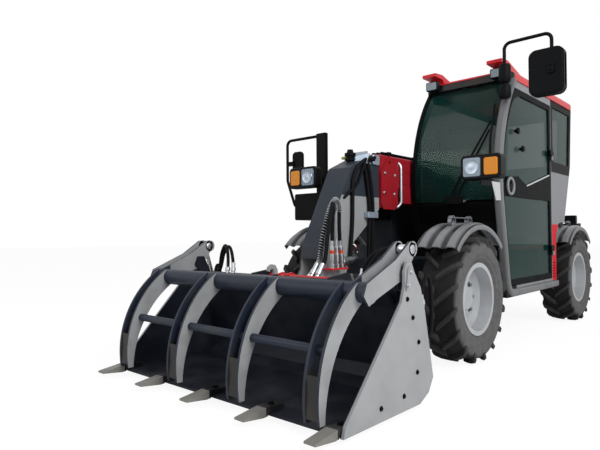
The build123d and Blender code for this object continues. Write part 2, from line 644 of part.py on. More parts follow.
# Bolt-on teeth: a shank under and over the cutting edge, tapering to a flat point
with BuildPart() as bucket_teeth:
    for y in TOOTH_Y:
        with BuildSketch(side_plane(y + 32)):
            with BuildLine():
                Polyline(
                    (EDGE_X - 106, 40 + SLIDE_GAP), (EDGE_X - 106, 62), (EDGE_X + 4, 70), (FRONT_REACH, 48),
                    (FRONT_REACH, 38), (EDGE_X + 34, 24), (EDGE_X + 7, 27), (EDGE_X + 7, 40 + SLIDE_GAP),
                    close=True,
                )
            make_face()
        extrude(amount=64)
finish(bucket_teeth, "bucket_teeth")

# Grapple: four twin-plate tines on two tubes, swung by a bell-crank arm of two plates at each side
TINE_FRONT = ((1807, 70), (1790, 330), (1530, 668))  # tip, bulge and crown of the front edge
TINE_REAR = ((1470, 585), (1690, 360), (1772, 70))  # crown, bulge and tip of the rear edge
TIP_PLATE = [(1797, 90), (1809, 90), (1802, 280), (1790, 280)]  # wear plate closing a tine's front at its tip
ARM_INNER_Y = ARM_OUTER_Y - 2 * ARM_PLATE_T - ARM_GAP
with BuildPart() as grapple:
    for y in TINE_Y:
        for side in (-1, 1):
            low, high = sorted((y + side * (TINE_HALF - TINE_PLATE_T), y + side * TINE_HALF))
            with BuildSketch(side_plane(high)):
                with BuildLine():
                    ThreePointArc(*TINE_FRONT)
                    Line(TINE_FRONT[2], TINE_REAR[0])
                    ThreePointArc(*TINE_REAR)
                    Line(TINE_REAR[2], TINE_FRONT[0])
                make_face()
            extrude(amount=high - low)
        plate(TIP_PLATE, y - TINE_HALF + TINE_PLATE_T, y + TINE_HALF - TINE_PLATE_T)
    disc(TOP_TUBE, TOP_TUBE_R, -ARM_OUTER_Y, ARM_OUTER_Y)
    disc(MID_TUBE, MID_TUBE_R, TINE_Y[0] - TINE_HALF, TINE_Y[3] + TINE_HALF)
    for side in (-1, 1):
        for inner in (ARM_INNER_Y, ARM_INNER_Y + ARM_PLATE_T + ARM_GAP):
            low, high = sorted((side * inner, side * (inner + ARM_PLATE_T)))
            plate(
                [(1095, 805), (1100, 845), (1150, 855), (1290, 765), (1535, 665), (1560, 610), (1520, 560),
                 (1450, 590), (1255, 655), (1195, 660), (1165, 715)],
                low,
                high,
            )
            disc(GRAPPLE_PIVOT, GRAPPLE_PIN_R + PIN_GAP, low, high, mode=Mode.SUBTRACT)
finish(grapple, "grapple")

# Cab outlines, as (ahead of the front axle, height)
PILLAR_FOOT = (-640, SILL_Z)
PILLAR_WAIST = (-500, 1160)
PILLAR_BULGE = (-530, 1640)
PILLAR_TOP = (-800, ROOF_Z)
CAB_REAR = [
    (5 - WHEELBASE, ROOF_Z), (65 - WHEELBASE, 1560), (275 - WHEELBASE, 1010), (465 - WHEELBASE, 985),
    (540 - WHEELBASE, 880), (545 - WHEELBASE, SILL_Z),
]
PILLAR_W = 58  # the front pillar's width seen from the side
QUARTER = [
    (DOOR_REAR_X - 60, 1570), (CAB_REAR[1][0] + 55, 1570), (CAB_REAR[0][0] + 62, DOOR_TOP_Z),
    (DOOR_REAR_X - 60, DOOR_TOP_Z),
]


def cab_outline():
    """The cab's side outline: straight lower pillar, curved upper pillar, roof line and stepped rear."""
    with BuildLine() as edge:
        Line(PILLAR_FOOT, PILLAR_WAIST)
        ThreePointArc(PILLAR_WAIST, PILLAR_BULGE, PILLAR_TOP)
        Polyline(PILLAR_TOP, *CAB_REAR, PILLAR_FOOT)
    make_face(edge.edges())


def door_outline():
    """The doorway, parallel to the pillar in front and square behind."""
    slope = (PILLAR_WAIST[0] - PILLAR_FOOT[0]) / (PILLAR_WAIST[1] - PILLAR_FOOT[1])
    foot = (PILLAR_FOOT[0] - PILLAR_W + slope * (DOOR_BOTTOM_Z - SILL_Z), DOOR_BOTTOM_Z)
    waist = (PILLAR_WAIST[0] - PILLAR_W, PILLAR_WAIST[1])
    bulge = (PILLAR_BULGE[0] - PILLAR_W, PILLAR_BULGE[1] - 20)
    top = (PILLAR_TOP[0] - PILLAR_W + 25, DOOR_TOP_Z)
    with BuildLine() as edge:
        Line(foot, waist)
        ThreePointArc(waist, bulge, top)
        Polyline(top, (DOOR_REAR_X, DOOR_TOP_Z), (DOOR_REAR_X, DOOR_BOTTOM_Z), foot)
    make_face(edge.edges())


# Left frame: pillar, sill, roof rail and quarter panel around the doorway and the quarter window,
# with the fixed half of each door hinge
HINGE_Z = (733, 1618)  # where the two halves of each hinge meet
HINGE_R = 12
HINGE_TALL = 45
HINGE_LEAF = 70
VENTS = 6  # slits low in the quarter panel
VENT_Z = SILL_Z + 95
VENT_STEP = 26
VENT_SLIT = 10
VENT_EDGE = 18
with BuildPart() as cab_left_frame:
    with BuildSketch(side_plane(CAB_LEFT)):
        cab_outline()
    extrude(amount=CAB_WALL)
    with BuildSketch(side_plane(CAB_LEFT)):
        door_outline()
    extrude(amount=CAB_WALL, mode=Mode.SUBTRACT)
    plate(QUARTER, CAB_LEFT - CAB_WALL, CAB_LEFT, mode=Mode.SUBTRACT)
    for z in HINGE_Z:
        leaf_x = DOOR_REAR_X - HINGE_LEAF
        block(leaf_x, DOOR_REAR_X, CAB_LEFT, CAB_LEFT + HINGE_R, z - HINGE_TALL, z - SLIDE_GAP)
        post(DOOR_REAR_X, CAB_LEFT + HINGE_R + HINGE_GAP, z - HINGE_TALL, z - SLIDE_GAP, HINGE_R)
    for row in range(VENTS):
        z = VENT_Z + VENT_STEP * row
        slit_low, slit_high = CAB_REAR[5][0] + VENT_EDGE, DOOR_REAR_X - VENT_EDGE
        block(slit_low, slit_high, CAB_LEFT - CAB_WALL, CAB_LEFT, z, z + VENT_SLIT, mode=Mode.SUBTRACT)
finish(cab_left_frame, "cab_left_frame")

# Door: a frame round an upper and a lower pane, with a waist bar between them
WAIST_BAR = (1190, 1300)  # lower and upper edge
PANE_GAP = 0.2
HANDLE = (-719, 1271)  # centre of the ring handle
HANDLE_R = 64
HANDLE_BAR_R = 11
with BuildPart() as door_frame:
    with BuildSketch(side_plane(CAB_LEFT)):
        door_outline()
        offset(amount=-DOOR_GAP, mode=Mode.REPLACE)
    extrude(amount=CAB_WALL)
    with BuildSketch(side_plane(CAB_LEFT)):
        door_outline()
        offset(amount=-DOOR_GAP - DOOR_STILE, mode=Mode.REPLACE)
        with Locations((DOOR_REAR_X, sum(WAIST_BAR) / 2)):
            Rectangle(2 * WHEELBASE, WAIST_BAR[1] - WAIST_BAR[0], mode=Mode.SUBTRACT)
    extrude(amount=CAB_WALL, mode=Mode.SUBTRACT)
    for z in HINGE_Z:
        block(DOOR_REAR_X, DOOR_REAR_X + HINGE_LEAF, CAB_LEFT, CAB_LEFT + HINGE_R, z, z + HINGE_TALL)
        post(DOOR_REAR_X, CAB_LEFT + HINGE_R + HINGE_GAP, z, z + HINGE_TALL, HINGE_R)
    ring_y = CAB_LEFT + 0.8 * HANDLE_BAR_R
    ring_plane = Plane(origin=(FRONT_AXLE_X + HANDLE[0], ring_y, HANDLE[1]))
    with BuildSketch(ring_plane):
        with Locations((HANDLE_R, 0)):
            Circle(HANDLE_BAR_R)
    revolve(axis=Axis(ring_plane.origin, (0, 1, 0)))
finish(door_frame, "door_frame")

with BuildPart() as door_glass:
    with BuildSketch(side_plane(CAB_LEFT - 10)):
        door_outline()
        offset(amount=-DOOR_GAP - DOOR_STILE - PANE_GAP, mode=Mode.REPLACE)
        with Locations((DOOR_REAR_X, sum(WAIST_BAR) / 2)):
            Rectangle(2 * WHEELBASE, WAIST_BAR[1] - WAIST_BAR[0] + 2 * PANE_GAP, mode=Mode.SUBTRACT)
    extrude(amount=GLASS_T)
finish(door_glass, "door_glass")

# Right wall: the same outline above the spine, with one long window
RIGHT_SILL = 1120
CAB_IN_RIGHT = CAB_RIGHT + CAB_RIGHT_WALL
CAB_IN_LEFT = CAB_LEFT - CAB_WALL
RIGHT_WINDOW = [
    (-600, RIGHT_SILL), (-600, 1700), (-850, DOOR_TOP_Z), (CAB_REAR[0][0] + 70, DOOR_TOP_Z),
    (CAB_REAR[2][0], RIGHT_SILL),
]
with BuildPart() as cab_right_wall:
    with BuildSketch(side_plane(CAB_IN_RIGHT)):
        cab_outline()
    extrude(amount=CAB_RIGHT_WALL)
    block(-REAR_REACH, 0, CAB_RIGHT - 10, CAB_IN_RIGHT + 10, 0, FRAME_TOP, mode=Mode.SUBTRACT)
    plate(RIGHT_WINDOW, CAB_RIGHT, CAB_IN_RIGHT, mode=Mode.SUBTRACT)
finish(cab_right_wall, "cab_right_wall")

# Floor: a pan beside the spine and a tunnel over it
FLOOR_T = 30
FLOOR_FRONT_X = -600
FLOOR_REAR_X = CAB_REAR[5][0] + 30
with BuildPart() as cab_floor:
    with BuildSketch(front_plane(FLOOR_REAR_X)):
        with BuildLine():
            Polyline(
                (CAB_IN_LEFT, BELLY_BOTTOM), (CAB_IN_LEFT, BELLY_BOTTOM + FLOOR_T),
                (FRAME_HALF + 20, BELLY_BOTTOM + FLOOR_T), (FRAME_HALF + 20, FRAME_TOP + FLOOR_T),
                (CAB_IN_RIGHT, FRAME_TOP + FLOOR_T), (CAB_IN_RIGHT, FRAME_TOP), (FRAME_HALF, FRAME_TOP),
                (FRAME_HALF, BELLY_BOTTOM), close=True,
            )
        make_face()
    extrude(amount=FLOOR_FRONT_X - FLOOR_REAR_X)
finish(cab_floor, "cab_floor")

# Front bulkhead, from the floor up to the windscreen
WALL_T = 30
SCREEN_FOOT = (-505, 1130)
with BuildPart() as cab_front:
    plate(
        [(-600, BELLY_BOTTOM), (-570, BELLY_BOTTOM), (-570, 985), SCREEN_FOOT,
         (SCREEN_FOOT[0] - WALL_T, 1150), (-600, 1000)],
        CAB_IN_RIGHT,
        CAB_IN_LEFT,
    )
    block(-700, -400, CAB_IN_RIGHT - 10, FRAME_HALF, 0, FRAME_TOP, mode=Mode.SUBTRACT)
finish(cab_front, "cab_front")

CAB_MID = (CAB_IN_LEFT + CAB_IN_RIGHT) / 2
REAR_PANE = (1590, 2070)  # lower and upper edge
REAR_PANE_HALF = 260
# Rear wall: bent to follow the cab's rear outline, with a window above the waist
with BuildPart() as cab_rear_wall:
    with BuildSketch(side_plane(CAB_IN_LEFT)):
        with BuildLine():
            Polyline(*CAB_REAR[:5], (CAB_REAR[5][0], BELLY_BOTTOM))
            offset(amount=WALL_T, side=Side.LEFT)
        make_face()
    extrude(amount=CAB_IN_LEFT - CAB_IN_RIGHT)
    block(-REAR_REACH, DOOR_REAR_X, CAB_IN_RIGHT - 10, FRAME_HALF, 0, FRAME_TOP, mode=Mode.SUBTRACT)
    block(-REAR_REACH, DOOR_REAR_X, CAB_IN_RIGHT, CAB_IN_LEFT, ROOF_Z, ROOF_Z + 50, mode=Mode.SUBTRACT)
    with BuildSketch(front_plane(CAB_REAR[0][0] - 50)):
        with Locations((CAB_MID, sum(REAR_PANE) / 2)):
            Rectangle(2 * REAR_PANE_HALF, REAR_PANE[1] - REAR_PANE[0])
    extrude(amount=200, mode=Mode.SUBTRACT)
finish(cab_rear_wall, "cab_rear_wall")

# Roof cap, with a horn reaching forward over each work lamp
ROOF_FRONT_X = PILLAR_TOP[0] + 40
ROOF_REAR_X = CAB_REAR[0][0] - 20
WORK_LAMP_Y = (CAB_RIGHT + 80, CAB_LEFT - 90)
HORN_HALF = 62
with BuildPart() as cab_roof:
    with BuildSketch(top_plane(ROOF_Z)):
        with Locations(((ROOF_FRONT_X + ROOF_REAR_X) / 2, (CAB_LEFT + CAB_RIGHT) / 2)):
            RectangleRounded(ROOF_FRONT_X - ROOF_REAR_X, CAB_LEFT - CAB_RIGHT + 20, 60)
    extrude(amount=75)
    fillet(cab_roof.faces().sort_by(Axis.Z)[-1].edges(), 30)
    for y in WORK_LAMP_Y:
        plate(
            [
                (ROOF_FRONT_X + 105, ROOF_Z + 114), (ROOF_FRONT_X + 100, ROOF_Z + 142),
                (ROOF_FRONT_X - 30, ROOF_Z + 152), (ROOF_FRONT_X - 400, ROOF_Z + 70),
                (ROOF_FRONT_X - 95, ROOF_Z + 55), (ROOF_FRONT_X - 30, ROOF_Z + 112),
            ],
            y - HORN_HALF,
            y + HORN_HALF,
        )
finish(cab_roof, "cab_roof")

# Fixed glass: windscreen along the pillars' curve, right, rear and quarter panes
with BuildPart() as cab_glass:
    with BuildSketch(side_plane(CAB_IN_LEFT)):
        with BuildLine():
            ThreePointArc(
                (PILLAR_WAIST[0] - 12, PILLAR_WAIST[1]), (PILLAR_BULGE[0] - 12, PILLAR_BULGE[1]),
                (PILLAR_TOP[0] - 12, ROOF_Z),
            )
            offset(amount=GLASS_T, side=Side.LEFT)
        make_face()
    extrude(amount=CAB_IN_LEFT - CAB_IN_RIGHT)
    plate(RIGHT_WINDOW, CAB_RIGHT + 10, CAB_RIGHT + 10 + GLASS_T)
    plate(QUARTER, CAB_LEFT - 10 - GLASS_T, CAB_LEFT - 10)
    (roof_x, roof_z), (waist_x, waist_z) = CAB_REAR[:2]
    low_x, high_x = (roof_x + (waist_x - roof_x) * (roof_z - z) / (roof_z - waist_z) + 10 for z in REAR_PANE)
    plate(
        [(low_x, REAR_PANE[0]), (low_x + GLASS_T, REAR_PANE[0]), (high_x + GLASS_T, REAR_PANE[1]),
         (high_x, REAR_PANE[1])],
        CAB_MID - REAR_PANE_HALF,
        CAB_MID + REAR_PANE_HALF,
    )
finish(cab_glass, "cab_glass")

# Seat: base, cushion and back
SEAT_Y = 420
SEAT_X = DOOR_REAR_X + 60  # the cushion's back edge
SEAT_DEPTH = 0.436 * (PILLAR_FOOT[0] - DOOR_REAR_X)
with BuildPart() as seat:
    base_low, base_high = FRAME_HALF + 35, CAB_IN_LEFT - 60
    block(SEAT_X + 60, SEAT_X + SEAT_DEPTH - 70, base_low, base_high, BELLY_BOTTOM + FLOOR_T, 760)
    block(SEAT_X, SEAT_X + SEAT_DEPTH, SEAT_Y - 230, SEAT_Y + 210, 760, 890)
    plate(
        [(SEAT_X, 890), (SEAT_X + 120, 890), (SEAT_X + 20, 1480), (SEAT_X - 80, 1480)],
        SEAT_Y - 220,
        SEAT_Y + 200,
    )
finish(seat, "seat")

# Steering column and wheel
with BuildPart() as steering_console:
    plate(
        [(-780, BELLY_BOTTOM + FLOOR_T), (-680, BELLY_BOTTOM + FLOOR_T), (-760, 1060), (-860, 1060)],
        SEAT_Y - 60,
        SEAT_Y + 60,
    )
    wheel_plane = Plane(origin=(FRONT_AXLE_X - 850, SEAT_Y, 1085), x_dir=(0, 1, 0), z_dir=(-0.5, 0, 0.866))
    with BuildSketch(wheel_plane):
        Circle(175)
        Circle(145, mode=Mode.SUBTRACT)
        Rectangle(300, 40)
        Circle(50)
    extrude(amount=25)
    with BuildSketch(wheel_plane.offset(-60)):
        Circle(30)
    extrude(amount=60)
finish(steering_console, "steering_console")

HOOD_CHAMFER = 60
LID_HINGE_X = (HOOD_REAR_X + 250, HOOD_FRONT_X - 250)  # where the two halves of each lid hinge meet
LID_HINGE_LONG = 60
LID_HINGE_R = 9
END_INSET = 25  # the end panels stand inside the lid by this much
# Engine side: tray, skirts and end panels, the block inside and a lid hinged at its inner edge
with BuildPart() as engine_bay:
    block(HOOD_REAR_X, HOOD_FRONT_X, HOOD_OUTER_Y, -FRAME_HALF, BELLY_BOTTOM, BELLY_BOTTOM + PANEL_T)
    block(HOOD_REAR_X, HOOD_FRONT_X, HOOD_OUTER_Y, HOOD_OUTER_Y + PANEL_T, BELLY_BOTTOM, HOOD_SPLIT_Z)
    for x_low, x_high in ((HOOD_REAR_X, HOOD_REAR_X + PANEL_T), (HOOD_FRONT_X - PANEL_T, HOOD_FRONT_X)):
        block(x_low, x_high, HOOD_OUTER_Y, -FRAME_HALF, BELLY_BOTTOM, HOOD_SPLIT_Z)
        with BuildSketch(front_plane(x_low)):
            with BuildLine():
                Polyline(
                    (HOOD_INNER_Y, HOOD_SPLIT_Z), (HOOD_INNER_Y, HOOD_TOP_Z - END_INSET),
                    (HOOD_OUTER_Y + HOOD_CHAMFER + END_INSET * (sqrt(2) - 1), HOOD_TOP_Z - END_INSET),
                    (HOOD_OUTER_Y + END_INSET, HOOD_TOP_Z - HOOD_CHAMFER - END_INSET * (sqrt(2) - 1)),
                    (HOOD_OUTER_Y + END_INSET, HOOD_SPLIT_Z), close=True,
                )
            make_face()
        extrude(amount=PANEL_T)
    block(HOOD_REAR_X, HOOD_FRONT_X, HOOD_INNER_Y, HOOD_INNER_Y + PANEL_T, FRAME_TOP, HOOD_TOP_Z)
    for x in LID_HINGE_X:
        leaf_top = HOOD_TOP_Z + LID_HINGE_R
        block(x - LID_HINGE_LONG, x, HOOD_INNER_Y, HOOD_INNER_Y + PANEL_T, HOOD_TOP_Z, leaf_top)
        with BuildSketch(front_plane(x - LID_HINGE_LONG)):
            with Locations((HOOD_INNER_Y, HOOD_TOP_Z + LID_HINGE_R + HINGE_GAP)):
                Circle(LID_HINGE_R)
        extrude(amount=LID_HINGE_LONG)
finish(engine_bay, "engine_bay")

with BuildPart() as engine_block:
    block(
        HOOD_REAR_X + 150, HOOD_FRONT_X - 200, HOOD_OUTER_Y + 45, HOOD_INNER_Y - 20,
        BELLY_BOTTOM + PANEL_T, 1060,
    )
finish(engine_block, "engine_block")

HOOD_EDGE_GAP = 6
LOUVRES = 7
LOUVRE_STEP = 45
LOUVRE_SLIT = 16
with BuildPart() as engine_hood:
    with BuildSketch(front_plane(HOOD_REAR_X + HOOD_EDGE_GAP)):
        with BuildLine():
            Polyline(
                (HOOD_INNER_Y - HINGE_GAP, HOOD_TOP_Z), (HOOD_OUTER_Y + HOOD_CHAMFER, HOOD_TOP_Z),
                (HOOD_OUTER_Y, HOOD_TOP_Z - HOOD_CHAMFER),
                (HOOD_OUTER_Y, HOOD_SPLIT_Z + HOOD_EDGE_GAP),
            )
            offset(amount=PANEL_T, side=Side.LEFT)
        make_face()
    extrude(amount=HOOD_FRONT_X - HOOD_REAR_X - 2 * HOOD_EDGE_GAP)
    for row in range(LOUVRES):
        z = HOOD_SPLIT_Z + 90 + LOUVRE_STEP * row
        block(
            HOOD_REAR_X + 300, HOOD_FRONT_X - 200, HOOD_OUTER_Y, HOOD_OUTER_Y + PANEL_T, z, z + LOUVRE_SLIT,
            mode=Mode.SUBTRACT,
        )
    for x in LID_HINGE_X:
        start = x + SLIDE_GAP
        leaf_low = HOOD_INNER_Y - 4 * LID_HINGE_R
        block(start, start + LID_HINGE_LONG, leaf_low, HOOD_INNER_Y, HOOD_TOP_Z, HOOD_TOP_Z + LID_HINGE_R)
        with BuildSketch(front_plane(start)):
            with Locations((HOOD_INNER_Y, HOOD_TOP_Z + LID_HINGE_R + HINGE_GAP)):
                Circle(LID_HINGE_R)
        extrude(amount=LID_HINGE_LONG)
finish(engine_hood, "engine_hood")

# Tool box over the right front wheel, bolted to the engine bay's front panel
BOX_FRONT_X = 100
BOX_BOTTOM_Z = 1020
BOX_TOP_Z = 1250
BOX_OUTER_Y = -890
with BuildPart() as tool_box:
    block(HOOD_FRONT_X, BOX_FRONT_X, BOX_OUTER_Y, HOOD_INNER_Y, BOX_BOTTOM_Z, BOX_TOP_Z)
    fillet(tool_box.edges().filter_by(Axis.X), 18)
finish(tool_box, "tool_box")

# Lamps: two head lamp units, two roof work lamps and two tail lamps
HEAD_LAMP_W = 300
HEAD_LAMP_Z = (1285, 1465)
HEAD_LAMPS = ((-250, -150, 545, 1), (130, 210, -553, -1))  # back, front, inner side and way out
HEAD_LENSES = ((25, 150, 6), (180, 275, 4))  # lens and turn signal: start, end and how far proud
with BuildPart() as lamps:
    for back_x, front_x, y_inner, way in HEAD_LAMPS:
        low, high = sorted((y_inner, y_inner + way * HEAD_LAMP_W))
        block(back_x, front_x, low, high, *HEAD_LAMP_Z)
        for start, end, proud in HEAD_LENSES:
            low, high = sorted((y_inner + way * start, y_inner + way * end))
            block(front_x, front_x + proud, low, high, HEAD_LAMP_Z[0] + 20, HEAD_LAMP_Z[1] - 20)
    for y in WORK_LAMP_Y:
        block(-760, -700, y - 55, y + 55, ROOF_Z + 5, ROOF_Z + 85)
    for side in (-1, 1):
        block(-REAR_REACH + 5, BUMPER_X, side * 520 - 60, side * 520 + 60, COUNTER_TOP, COUNTER_TOP + 90)
finish(lamps, "lamps")

# Mirrors, the left lamp's bracket and the right post
ARM_R = 13
LEFT_ARM_X = -590
LEFT_ARM_Y = CAB_LEFT + 20
RIGHT_ARM_X = -70
RIGHT_ARM_Y = ARM_R - MIRROR_REACH
POST_Y = (-765, -665)
POST_TOP_Z = 1790
with BuildPart() as mirrors:
    block(-548, -150, CAB_LEFT, CAB_LEFT + 12, 1245, 1285)
    block(RIGHT_ARM_X - 20, RIGHT_ARM_X + 20, *POST_Y, BOX_TOP_Z, POST_TOP_Z)
    block(RIGHT_ARM_X + 20, HEAD_LAMPS[1][0], POST_Y[0] + 30, POST_Y[1] - 10, 1350, 1390)
    with BuildLine(front_plane(RIGHT_ARM_X)) as right_loop:
        FilletPolyline((POST_Y[0] + 40, POST_TOP_Z - 20), (RIGHT_ARM_Y, POST_TOP_Z - 20), (RIGHT_ARM_Y, 1395),
                       (RIGHT_ARM_Y + 95, 1150), (BOX_OUTER_Y, 1150), radius=50)
    with BuildSketch(Plane(origin=right_loop.line @ 0, z_dir=right_loop.line % 0)):
        Circle(ARM_R)
    sweep(path=right_loop.line)
    block(RIGHT_ARM_X - 30, RIGHT_ARM_X, RIGHT_ARM_Y, RIGHT_ARM_Y + 70, 1535, 1575)
    with BuildSketch(front_plane(RIGHT_ARM_X - 50)):
        with Locations((RIGHT_ARM_Y + 102, 1555)):
            RectangleRounded(120, 215, 35)
    extrude(amount=27.5)
    with BuildLine(front_plane(LEFT_ARM_X)) as left_loop:
        FilletPolyline((LEFT_ARM_Y, 1950), (LEFT_ARM_Y, 2375), (MIRROR_REACH - 90, 2375),
                       (MIRROR_REACH - 90, 2100), radius=50)
    with BuildSketch(Plane(origin=left_loop.line @ 0, z_dir=left_loop.line % 0)):
        Circle(ARM_R)
    sweep(path=left_loop.line)
    block(-720, LEFT_ARM_X + ARM_R, CAB_LEFT, CAB_LEFT + 14, 1965, 1990)
    block(-760, LEFT_ARM_X + ARM_R, CAB_LEFT, CAB_LEFT + 14, 2060, 2085)
    with BuildSketch(front_plane(LEFT_ARM_X - 40)):
        with Locations((MIRROR_REACH - 125, 2087)):
            RectangleRounded(250, 345, 55)
    extrude(amount=65)
finish(mirrors, "mirrors")
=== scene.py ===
"""Looks of a compact telehandler with a grapple bucket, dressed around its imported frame.

Metres, +X forward, +Y to the machine's left, +Z up, with the ground at Z = 0.
"""
from math import cos, pi, radians, sin

import bmesh
import bpy
import numpy as np
from mathutils import Matrix, Vector


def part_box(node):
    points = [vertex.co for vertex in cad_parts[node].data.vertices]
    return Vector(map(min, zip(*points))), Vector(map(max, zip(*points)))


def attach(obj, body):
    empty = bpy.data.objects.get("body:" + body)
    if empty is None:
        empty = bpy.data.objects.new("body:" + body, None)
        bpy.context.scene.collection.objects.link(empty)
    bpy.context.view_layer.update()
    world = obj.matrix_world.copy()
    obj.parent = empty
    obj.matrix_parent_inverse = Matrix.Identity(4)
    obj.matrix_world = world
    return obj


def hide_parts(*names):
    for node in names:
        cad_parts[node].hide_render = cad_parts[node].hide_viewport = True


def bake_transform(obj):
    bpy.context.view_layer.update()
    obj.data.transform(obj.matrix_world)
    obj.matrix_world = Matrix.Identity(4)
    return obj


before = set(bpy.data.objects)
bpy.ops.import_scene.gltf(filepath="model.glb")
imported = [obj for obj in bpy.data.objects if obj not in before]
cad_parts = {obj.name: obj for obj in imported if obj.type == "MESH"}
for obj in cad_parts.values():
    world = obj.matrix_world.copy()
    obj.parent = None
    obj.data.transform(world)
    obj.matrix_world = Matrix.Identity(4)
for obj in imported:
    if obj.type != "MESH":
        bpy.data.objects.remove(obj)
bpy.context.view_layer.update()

# Camera: the photograph's viewpoint, solved from the wheels, the bucket and the cab.
# The focal length is in pixels of the 600 pixel wide image.
IMAGE_WIDTH = 600
FOCAL_PIXELS = 534.09
EYE = Vector((4.0994, 2.3116, 0.8957))
YAW, PITCH, ROLL = radians(222.25), radians(1.01), radians(-0.37)
forward = Vector((cos(YAW) * cos(PITCH), sin(YAW) * cos(PITCH), sin(PITCH)))
level = forward.cross(Vector((0, 0, 1))).normalized()
upright = level.cross(forward)
right = level * cos(ROLL) + upright * sin(ROLL)
above = upright * cos(ROLL) - level * sin(ROLL)
camera_data = bpy.data.cameras.new("photo_camera")
camera_data.sensor_width = 36
camera_data.lens = FOCAL_PIXELS / IMAGE_WIDTH * camera_data.sensor_width
camera = bpy.data.objects.new("photo_camera", camera_data)
camera.matrix_world = Matrix((right, above, -forward)).transposed().to_4x4()
camera.matrix_world.translation = EYE
scene = bpy.context.scene
scene.collection.objects.link(camera)
scene.camera = camera
scene.view_settings.view_transform = "Standard"

# Studio: a white surround that the eye, gloss and glass see as white, and a plain soft sky of
# light for the rest, with one large lamp on the cab's side and a smaller one across from it.
SKY_STRENGTH = 0.5
# columns: name, place, watts, size
LAMPS = (("cab_side_softbox", (2.6, 6.5, 5.0), 420, 4.0), ("front_softbox", (7.5, -3.5, 4.0), 110, 4.0))
AIM = Vector((0, 0, 1.0))


def add(tree, kind, inputs, **settings):
    """A shader node of a kind, with its settings; each input is a value, or a socket to link from."""
    made = tree.nodes.new("ShaderNode" + kind)
    for name, value in settings.items():
        setattr(made, name, value)
    for socket, value in inputs.items():
        if isinstance(value, bpy.types.NodeSocket):
            tree.links.new(value, made.inputs[socket])
        else:
            made.inputs[socket].default_value = value
    return made


world = bpy.data.worlds.new("studio")
world.use_nodes = True
sky = world.node_tree
sky.nodes.clear()
rays = add(sky, "LightPath", {})
seen = rays.outputs["Is Camera Ray"]
for other in ("Is Glossy Ray", "Is Transmission Ray"):
    seen = add(sky, "Math", {0: seen, 1: rays.outputs[other]}, operation="MAXIMUM").outputs[0]
strength = add(sky, "MapRange", {"Value": seen, "To Min": SKY_STRENGTH, "To Max": 1.0})
white = add(sky, "Background", {"Color": (1, 1, 1, 1), "Strength": strength.outputs[0]})
add(sky, "OutputWorld", {"Surface": white.outputs[0]})
scene.world = world
for name, place, watts, size in LAMPS:
    lamp_data = bpy.data.lights.new(name, "AREA")
    lamp_data.energy = watts
    lamp_data.size = size
    lamp = bpy.data.objects.new(name, lamp_data)
    lamp.location = place
    lamp.rotation_euler = (AIM - Vector(place)).to_track_quat("-Z", "Y").to_euler()
    scene.collection.objects.link(lamp)

# Floor: a pale seamless paper sweep. The eye sees it nearly white, because most of it glows for the
# camera alone, with the machine's soft shadow on the rest.
FLOOR_HALF = 40
SHADOW_SHARE, FLOOR_GLOW = 0.12, 1.04


def linear(code):
    """An sRGB hex colour as linear red, green, blue and alpha."""
    srgb = np.array([int(code[i : i + 2], 16) for i in (1, 3, 5)]) / 255
    rgb = np.where(srgb <= 0.04045, srgb / 12.92, ((srgb + 0.055) / 1.055) ** 2.4)
    return (*rgb, 1.0)


def blank(name):
    """A new material and its empty node tree."""
    material = bpy.data.materials.new(name)
    material.use_nodes = True
    material.node_tree.nodes.clear()
    return material, material.node_tree


def panes(index):
    """Four-sided faces between the neighbouring rows and columns of an index grid."""
    return np.stack([index[:-1, :-1], index[1:, :-1], index[1:, 1:], index[:-1, 1:]], axis=-1).reshape(-1, 4)


def solid(name, points, faces, sharp=35):
    """A mesh object of points and faces, turned outwards, with edges over so many degrees kept crisp."""
    mesh = bpy.data.meshes.new(name)
    mesh.from_pydata(points.tolist(), [], faces)
    shell = bmesh.new()
    shell.from_mesh(mesh)
    bmesh.ops.remove_doubles(shell, verts=shell.verts, dist=1e-6)
    bmesh.ops.recalc_face_normals(shell, faces=shell.faces)
    shell.to_mesh(mesh)
    shell.free()
    mesh.shade_smooth()
    mesh.set_sharp_from_angle(angle=radians(sharp))
    piece = bpy.data.objects.new(name, mesh)
    scene.collection.objects.link(piece)
    return piece


def skin(name, grid, wrap=(False, True), caps=False):
    """A mesh over grid[row, column]: wrap joins the last row or column to the first, caps close both ends."""
    rows, columns = grid.shape[:2]
    index = np.arange(rows * columns).reshape(rows, columns)
    ends = [index[0].tolist(), index[-1].tolist()] if caps else []
    if wrap[0]:
        index = np.vstack([index, index[:1]])
    if wrap[1]:
        index = np.hstack([index, index[:, :1]])
    return solid(name, grid.reshape(-1, 3), panes(index).tolist() + ends)


edge = np.array([-FLOOR_HALF, FLOOR_HALF])
floor_x, floor_y = np.meshgrid(edge, edge, indexing="ij")
floor = skin("studio_floor", np.stack([floor_x, floor_y, 0 * floor_x], axis=-1), wrap=(False, False))
floor_paper, tree = blank("white_paper_sweep")
rays = add(tree, "LightPath", {})
paper = add(tree, "BsdfDiffuse", {"Color": linear("#ffffff")})
glow = add(tree, "Emission", {"Color": (1, 1, 1, 1), "Strength": FLOOR_GLOW})
share = add(tree, "Math", {0: rays.outputs["Is Camera Ray"], 1: 1 - SHADOW_SHARE}, operation="MULTIPLY")
both = add(tree, "MixShader", {0: share.outputs[0], 1: paper.outputs[0], 2: glow.outputs[0]})
add(tree, "OutputMaterial", {"Surface": both.outputs[0]})
floor.data.materials.append(floor_paper)

# Chassis: a welded steel box spine with the boom tower on it and a cast counterweight behind,
# all sprayed the same dark slate enamel, dusty low down.


def noise(tree, size, detail=2.0):
    """Cloudy noise over a piece, its patches so many metres across."""
    place = add(tree, "TexCoord", {}).outputs["Object"]
    return add(tree, "TexNoise", {"Vector": place, "Scale": 1 / size, "Detail": detail}).outputs[0]


